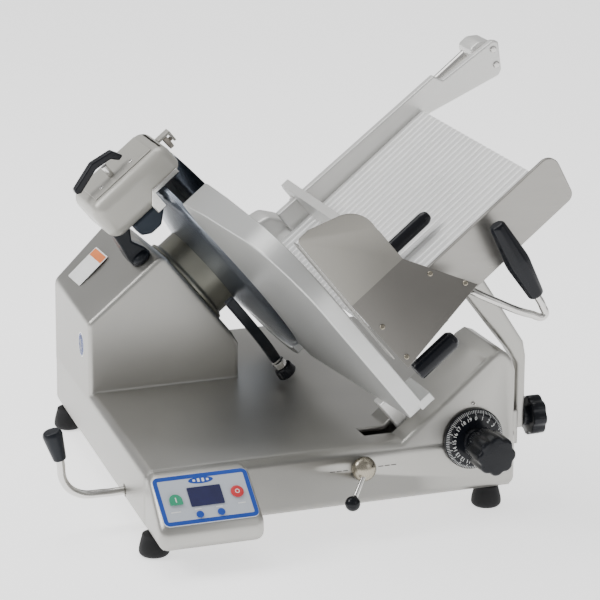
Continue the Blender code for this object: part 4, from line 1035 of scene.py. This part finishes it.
def sharpener_housing():
    """The cover over the knife's top, opened for the knife and the two stones, with its lid."""
    mid, low, high = SHARPENER_MID_Y, (HOUSING_S[0], HOUSING_Y[0], SKIRT_N), (0.2, HOUSING_Y[1], HOUSING_N[1])
    shell = soft_box("sharpener_shell", low, high, 0.018, SHARPENER, "base", ("sharpener_housing",))
    start, end = 0.2003, 0.2215
    hook = [(start, 0.392), (0.218, 0.392), (0.218, 0.379), (end, 0.379), (end, 0.396), (start, 0.396)]
    nose = across_chute("truing_arm", hook, mid + 0.009, mid + 0.023, SHARPENER, "base")
    bevel(nose, 0.001, 2)
    arch = rod("arch", knife_point(0.147), knife_point(0.222), KNIFE_RADIUS + 0.006, edge=0.001, segments=120)
    stone = grinder_point()
    hole = rod("hole", stone - S * 0.012, stone + S * 0.01, 0.0033)
    pocket = block("pocket", (0.179, mid - 0.036, 0.361), (0.1955, mid + 0.034, 0.4088), matrix=CHUTE)
    carve(shell, [], [arch, pocket, hole])
    low = (HOUSING_S[0] + 0.018, HOUSING_Y[0] + 0.016, HOUSING_N[1] + GAP)
    high = (0.182, HOUSING_Y[1] - 0.016, HOUSING_N[1] + LID_THICK)
    soft_box("sharpener_lid", low, high, 0.0009, SHARPENER, "base", ("sharpener_cover",), 5)


def sharpener_mount():
    """The post the housing stands on, its clamp and the tab beside the knife."""
    base_n, top_n, neck = PEDESTAL_PEAK_N + GAP, HOUSING_N[0] - GAP, SHARPENER_MID_Y - 0.03
    post = [(0.062, base_n), (0.092, base_n), (0.09, base_n + 0.012), (0.082, 0.33), (0.092, SKIRT_N - 0.004)]
    post += [(0.092, top_n), (0.07, top_n), (0.066, 0.336), (0.062, base_n + 0.012)]
    mount = across_chute("sharpener_post", post, neck, neck + 0.03, SATIN_BLACK, "base", ("sharpener_mount",))
    bevel(mount, 0.003, 4)
    foot = place(0.077, neck + 0.004, base_n)
    profile = [(0, 0), (0.014, 0), (0.014, 0.006), (0.009, 0.011), (0, 0.011)]
    turned("post_foot", round_edges(profile, 0.002), foot, N, SATIN_BLACK, "base", (), 48)
    jaw = [(0.096, SKIRT_N - 0.016), (0.108, SKIRT_N - 0.024), (0.126, SKIRT_N - 0.024)]
    jaw += [(0.146, SKIRT_N - 0.006), (0.146, SKIRT_N + 0.003), (0.096, SKIRT_N + 0.003)]
    side = HOUSING_Y[0] + 0.004
    clamp = across_chute("sharpener_clamp", jaw, side, side + 0.026, DARK_BLUE, "base")
    bevel(clamp, 0.003, 4)
    plate = [(0.132, SKIRT_N - 0.005), (0.1485, SKIRT_N - 0.005), (0.1485, 0.369), (0.19, 0.369)]
    plate += [(0.19, 0.3765), (0.146, 0.3765), (0.132, SKIRT_N + 0.01)]
    tab = across_chute("sharpener_tab", plate, HOUSING_Y[0] - 0.004, HOUSING_Y[0] + 0.004, STEEL, "base")
    bevel(tab, 0.0015, 3)


def sharpener_lever():
    """The bent finger lever on top of the housing, and the lid's screws."""
    lid = HOUSING_N[1] + LID_THICK
    spot = place(0.121, HOUSING_Y[0] + 0.04, lid + GAP)
    rod("lever_post", spot, spot + N * 0.018, 0.0045, STEEL, "sharpener_handle")
    finger = [(0.068, 0), (0.074, -0.004), (0.11, 0.007), (0.134, 0.004), (0.142, -0.006)]
    finger += [(0.15, -0.004), (0.142, 0.012), (0.11, 0.018), (0.07, 0.006)]
    outline = [(s, n + HOUSING_N[1] + 0.018) for s, n in finger]
    y = HOUSING_Y[0] + 0.034
    made = across_chute(
        "lever_finger", outline, y, y + 0.012, BLACK, "sharpener_handle", ("sharpener_lever",),
    )
    bevel(made, 0.002, 4, 20.0)
    for i, s in enumerate((0.1, 0.152)):
        screw_head(f"lid_screw_{i}", place(s, SHARPENER_MID_Y - 0.02, lid), N, 0.0036, "base")


def grinder_point():
    return place(HOUSING_S[1], SHARPENER_MID_Y - 0.016, 0.391)


def wheels():
    """The grinding stone behind the knife and the truing stone before it, each on its pin."""
    profile = [(0, -0.01), (0.003, -0.01), (0.003, 0.008), (0.0165, 0.008), (0.0165, 0.017), (0, 0.017)]
    shape = round_edges(profile, 0.0006, 3)
    turned("grinding_wheel", shape, grinder_point(), S, STONE, "grinder", ("grinding_stone",), 64)
    profile = [(0, 0), (0.003, 0), (0.003, 0.004), (0.011, 0.004), (0.011, 0.01), (0, 0.01)]
    shape, spot = round_edges(profile, 0.0005, 3), place(0.2177, SHARPENER_MID_Y + 0.016, 0.3835)
    turned("truing_wheel", shape, spot, -S, STONE, "truer", ("truing_stone",), 56)


# Levers, badge and label on the base


def selector():
    """The domed selector with its ball, and the marks on either side of it."""
    spot = ORIGIN + SELECTOR
    wide, lip = 0.0165, 0.002
    profile = [(0, -0.02), (0.006, -0.02), (0.006, 0.0003), (wide, 0.0003), (wide, lip)]
    steps = 8
    for i in range(1, steps + 1):
        turn = math.radians(90.0 * i / steps)
        profile.append((wide * math.cos(turn), lip + 0.014 * math.sin(turn)))
    turned("selector_dome", profile, spot - Y * GAP, -Y, DOME, "selector", ("selector_lever",), 64)
    elbow, tip = spot + Vector((-0.002, -0.01, -0.004)), spot + Vector((-0.02, -0.024, -0.028))
    rod("selector_stem", elbow, tip, 0.0032, STEEL, "selector")
    radius = 0.01
    centre = tip + (tip - elbow).normalized() * (radius + GAP)
    ball = [(abs(r), h) for r, h in arc((0, 0), radius, -90.0, 90.0, 24)]
    turned("selector_knob", ball, centre, Z, BLACK, "selector", ("selector_ball",), 48)
    for i, side in enumerate((-1, 1)):
        x = SELECTOR.x + side * 0.0335
        for k in range(3):
            line = bar(x + (k - 1) * 0.009, SELECTOR.z, 0.0035, 0.0006, 0.0004, 3)
            across(f"selector_line_{i}_{k}", line, -0.0003, 0.0005, GREY_INK, "base")


def lift_lever():
    """The bent lever at the left that raises the machine for cleaning under it."""
    lift = ORIGIN + LIFT_START
    route = [lift + X * 0.006, lift - X * 0.03]
    route += [lift + Vector((x, 0, z)) for x, z in ((-0.062, 0.004), (-0.08, 0.02), (-0.086, 0.052))]
    bent_rod("lift_bar", route, 0.0055, STEEL, "lift", ("lift_lever",))
    start = past_end(route)
    way = Vector((-0.011, 0, 0.04))
    length = way.length
    profile = [(0, 0), (0.008, 0), (0.0088, 0.002), (0.0134, length - 0.005), (0.011, length), (0, length)]
    turned(
        "lift_hand_knob", round_edges(profile, 0.0022), start, way, SATIN_BLACK, "lift", ("lift_knob",), 56,
    )


def side_badge():
    """A round badge on the pedestal's side, with plain bars and no words."""
    slope = Vector((SIDE_SKEW, 1.0, 0)).normalized()
    face = axes(at(side_x(0.372) + STEP - 0.0002, 0.372, 0.166), -slope, Z)
    prism("side_badge", ellipse((0, 0), 0.017, 0.017), -0.0006, face, WHITE_INK, "base")
    prism("side_badge_field", ellipse((0, 0), 0.0155, 0.0155), -0.0009, face, BLUE, "base")
    for i, tall in enumerate((0.004, 0.007, 0.007, 0.004)):
        mark = bar(-0.009 + 0.006 * i, 0, 0.0015, tall, 0.0012)
        prism(f"side_badge_bar_{i}", mark, -0.0012, face, WHITE_INK, "base")


def slope_label():
    """A blank white plate with a plain coloured end on the pedestal's sloping shoulder."""
    near = 0.452
    shoulder = at(side_x(near) + STEP, near, PEDESTAL_SHOULDER_Z)
    peak_x, peak_z = local(PEDESTAL_SLOPE_S - 0.008, PEDESTAL_PEAK_N)
    face = axes(shoulder, (at(peak_x, near, peak_z) - shoulder).normalized(), Y)
    prism("blank_label", rounded((0.022, 0), (0.078, 0.052), 0.002), 0.0006, face, WHITE_INK, "base")
    prism("blank_label_end", rounded((0.064, 0.002), (0.076, 0.05), 0.001), 0.0009, face, ORANGE_INK, "base")


def kept_nodes():
    """CAD nodes that show as they are, each with its finish."""
    finishes = {
        "bottom_cover": SHEET, "knife_motor": SATIN_BLACK, "motor_pulley": STEEL, "knife_pulley": STEEL,
        "drive_belt": RUBBER, "front_bearing": STEEL, "rear_bearing": STEEL, "knife_shaft": STEEL,
        "gauge_slide_rod": STEEL, "index_shaft": STEEL, "carriage_rod": STEEL, "pusher_sleeve": STEEL,
        "cord_gland": SATIN_BLACK,
    }
    for name, finish in finishes.items():
        kept = frame["nodes"][name]
        if not kept.material_slots:
            kept.data.materials.append(finish)
        for slot in kept.material_slots:
            slot.material = finish


# Studio


def studio():
    bm = bmesh.new()
    reach, white = 9.0, (1.0, 1.0, 1.0, 1.0)
    corners = [(-reach, -reach), (reach, -reach), (reach, reach), (-reach, reach)]
    bm.faces.new([bm.verts.new((x, y, -0.0002)) for x, y in corners])
    floor_finish = surface("studio_floor", (0.9, 0.9, 0.9), 0.6, 0, 0.01, 2.0, 60.0, bump=0, seed=30.0)
    shader = floor_finish.node_tree.nodes["Principled BSDF"]
    set_inputs(shader, {"Emission Color": white, "Emission Strength": 1.3})
    floor = piece("studio_floor", bm, Matrix(), floor_finish, None)
    world = bpy.data.worlds.new("studio")
    world.use_nodes = True
    set_inputs(world.node_tree.nodes["Background"], {"Color": white, "Strength": 0.5})
    bpy.context.scene.world = world
    lamps = (
        ("key", (-2.4, 0.6, 2.2), 1.3, 52.0),
        ("fill", (1.6, -2.6, 1.4), 1.6, 8.0),
        ("top", (-0.4, 1.0, 2.8), 1.8, 34.0),
    )
    aim = Vector((0, 0, 0.25))
    for name, spot, size, power in lamps:
        light = bpy.data.lights.new(name, "AREA")
        light.size = size
        light.energy = power
        lamp = add(name, light)
        lamp.location = spot
        lamp.rotation_euler = (aim - Vector(spot)).to_track_quat("-Z", "Y").to_euler()


def camera():
    """The view: from the left and above, far off with a long lens."""
    yaw, pitch, roll = math.radians(21.14), math.radians(16.89), math.radians(0.4)
    forward = Vector((math.sin(yaw) * math.cos(pitch), math.cos(yaw) * math.cos(pitch), -math.sin(pitch)))
    lens = bpy.data.cameras.new("camera")
    lens.lens = 199.0
    lens.sensor_width = 36.0
    lens.clip_end = 50.0
    made = add("camera", lens)
    made.location = at(-1.483, -3.734, 1.533)
    turn = forward.to_track_quat("-Z", "Y").to_matrix() @ Matrix.Rotation(roll, 3, "Z")
    made.rotation_euler = turn.to_euler()
    bpy.context.scene.camera = made


base()
feet()
panel()
knife()
knife_housing()
deflector()
gauge()
dial()
carriage()
chute_arm()
floor_plate()
walls()
hand_guard()
chute_handle()
pusher()
sharpener_housing()
sharpener_mount()
sharpener_lever()
wheels()
selector()
lift_lever()
side_badge()
slope_label()
kept_nodes()
studio()
camera()
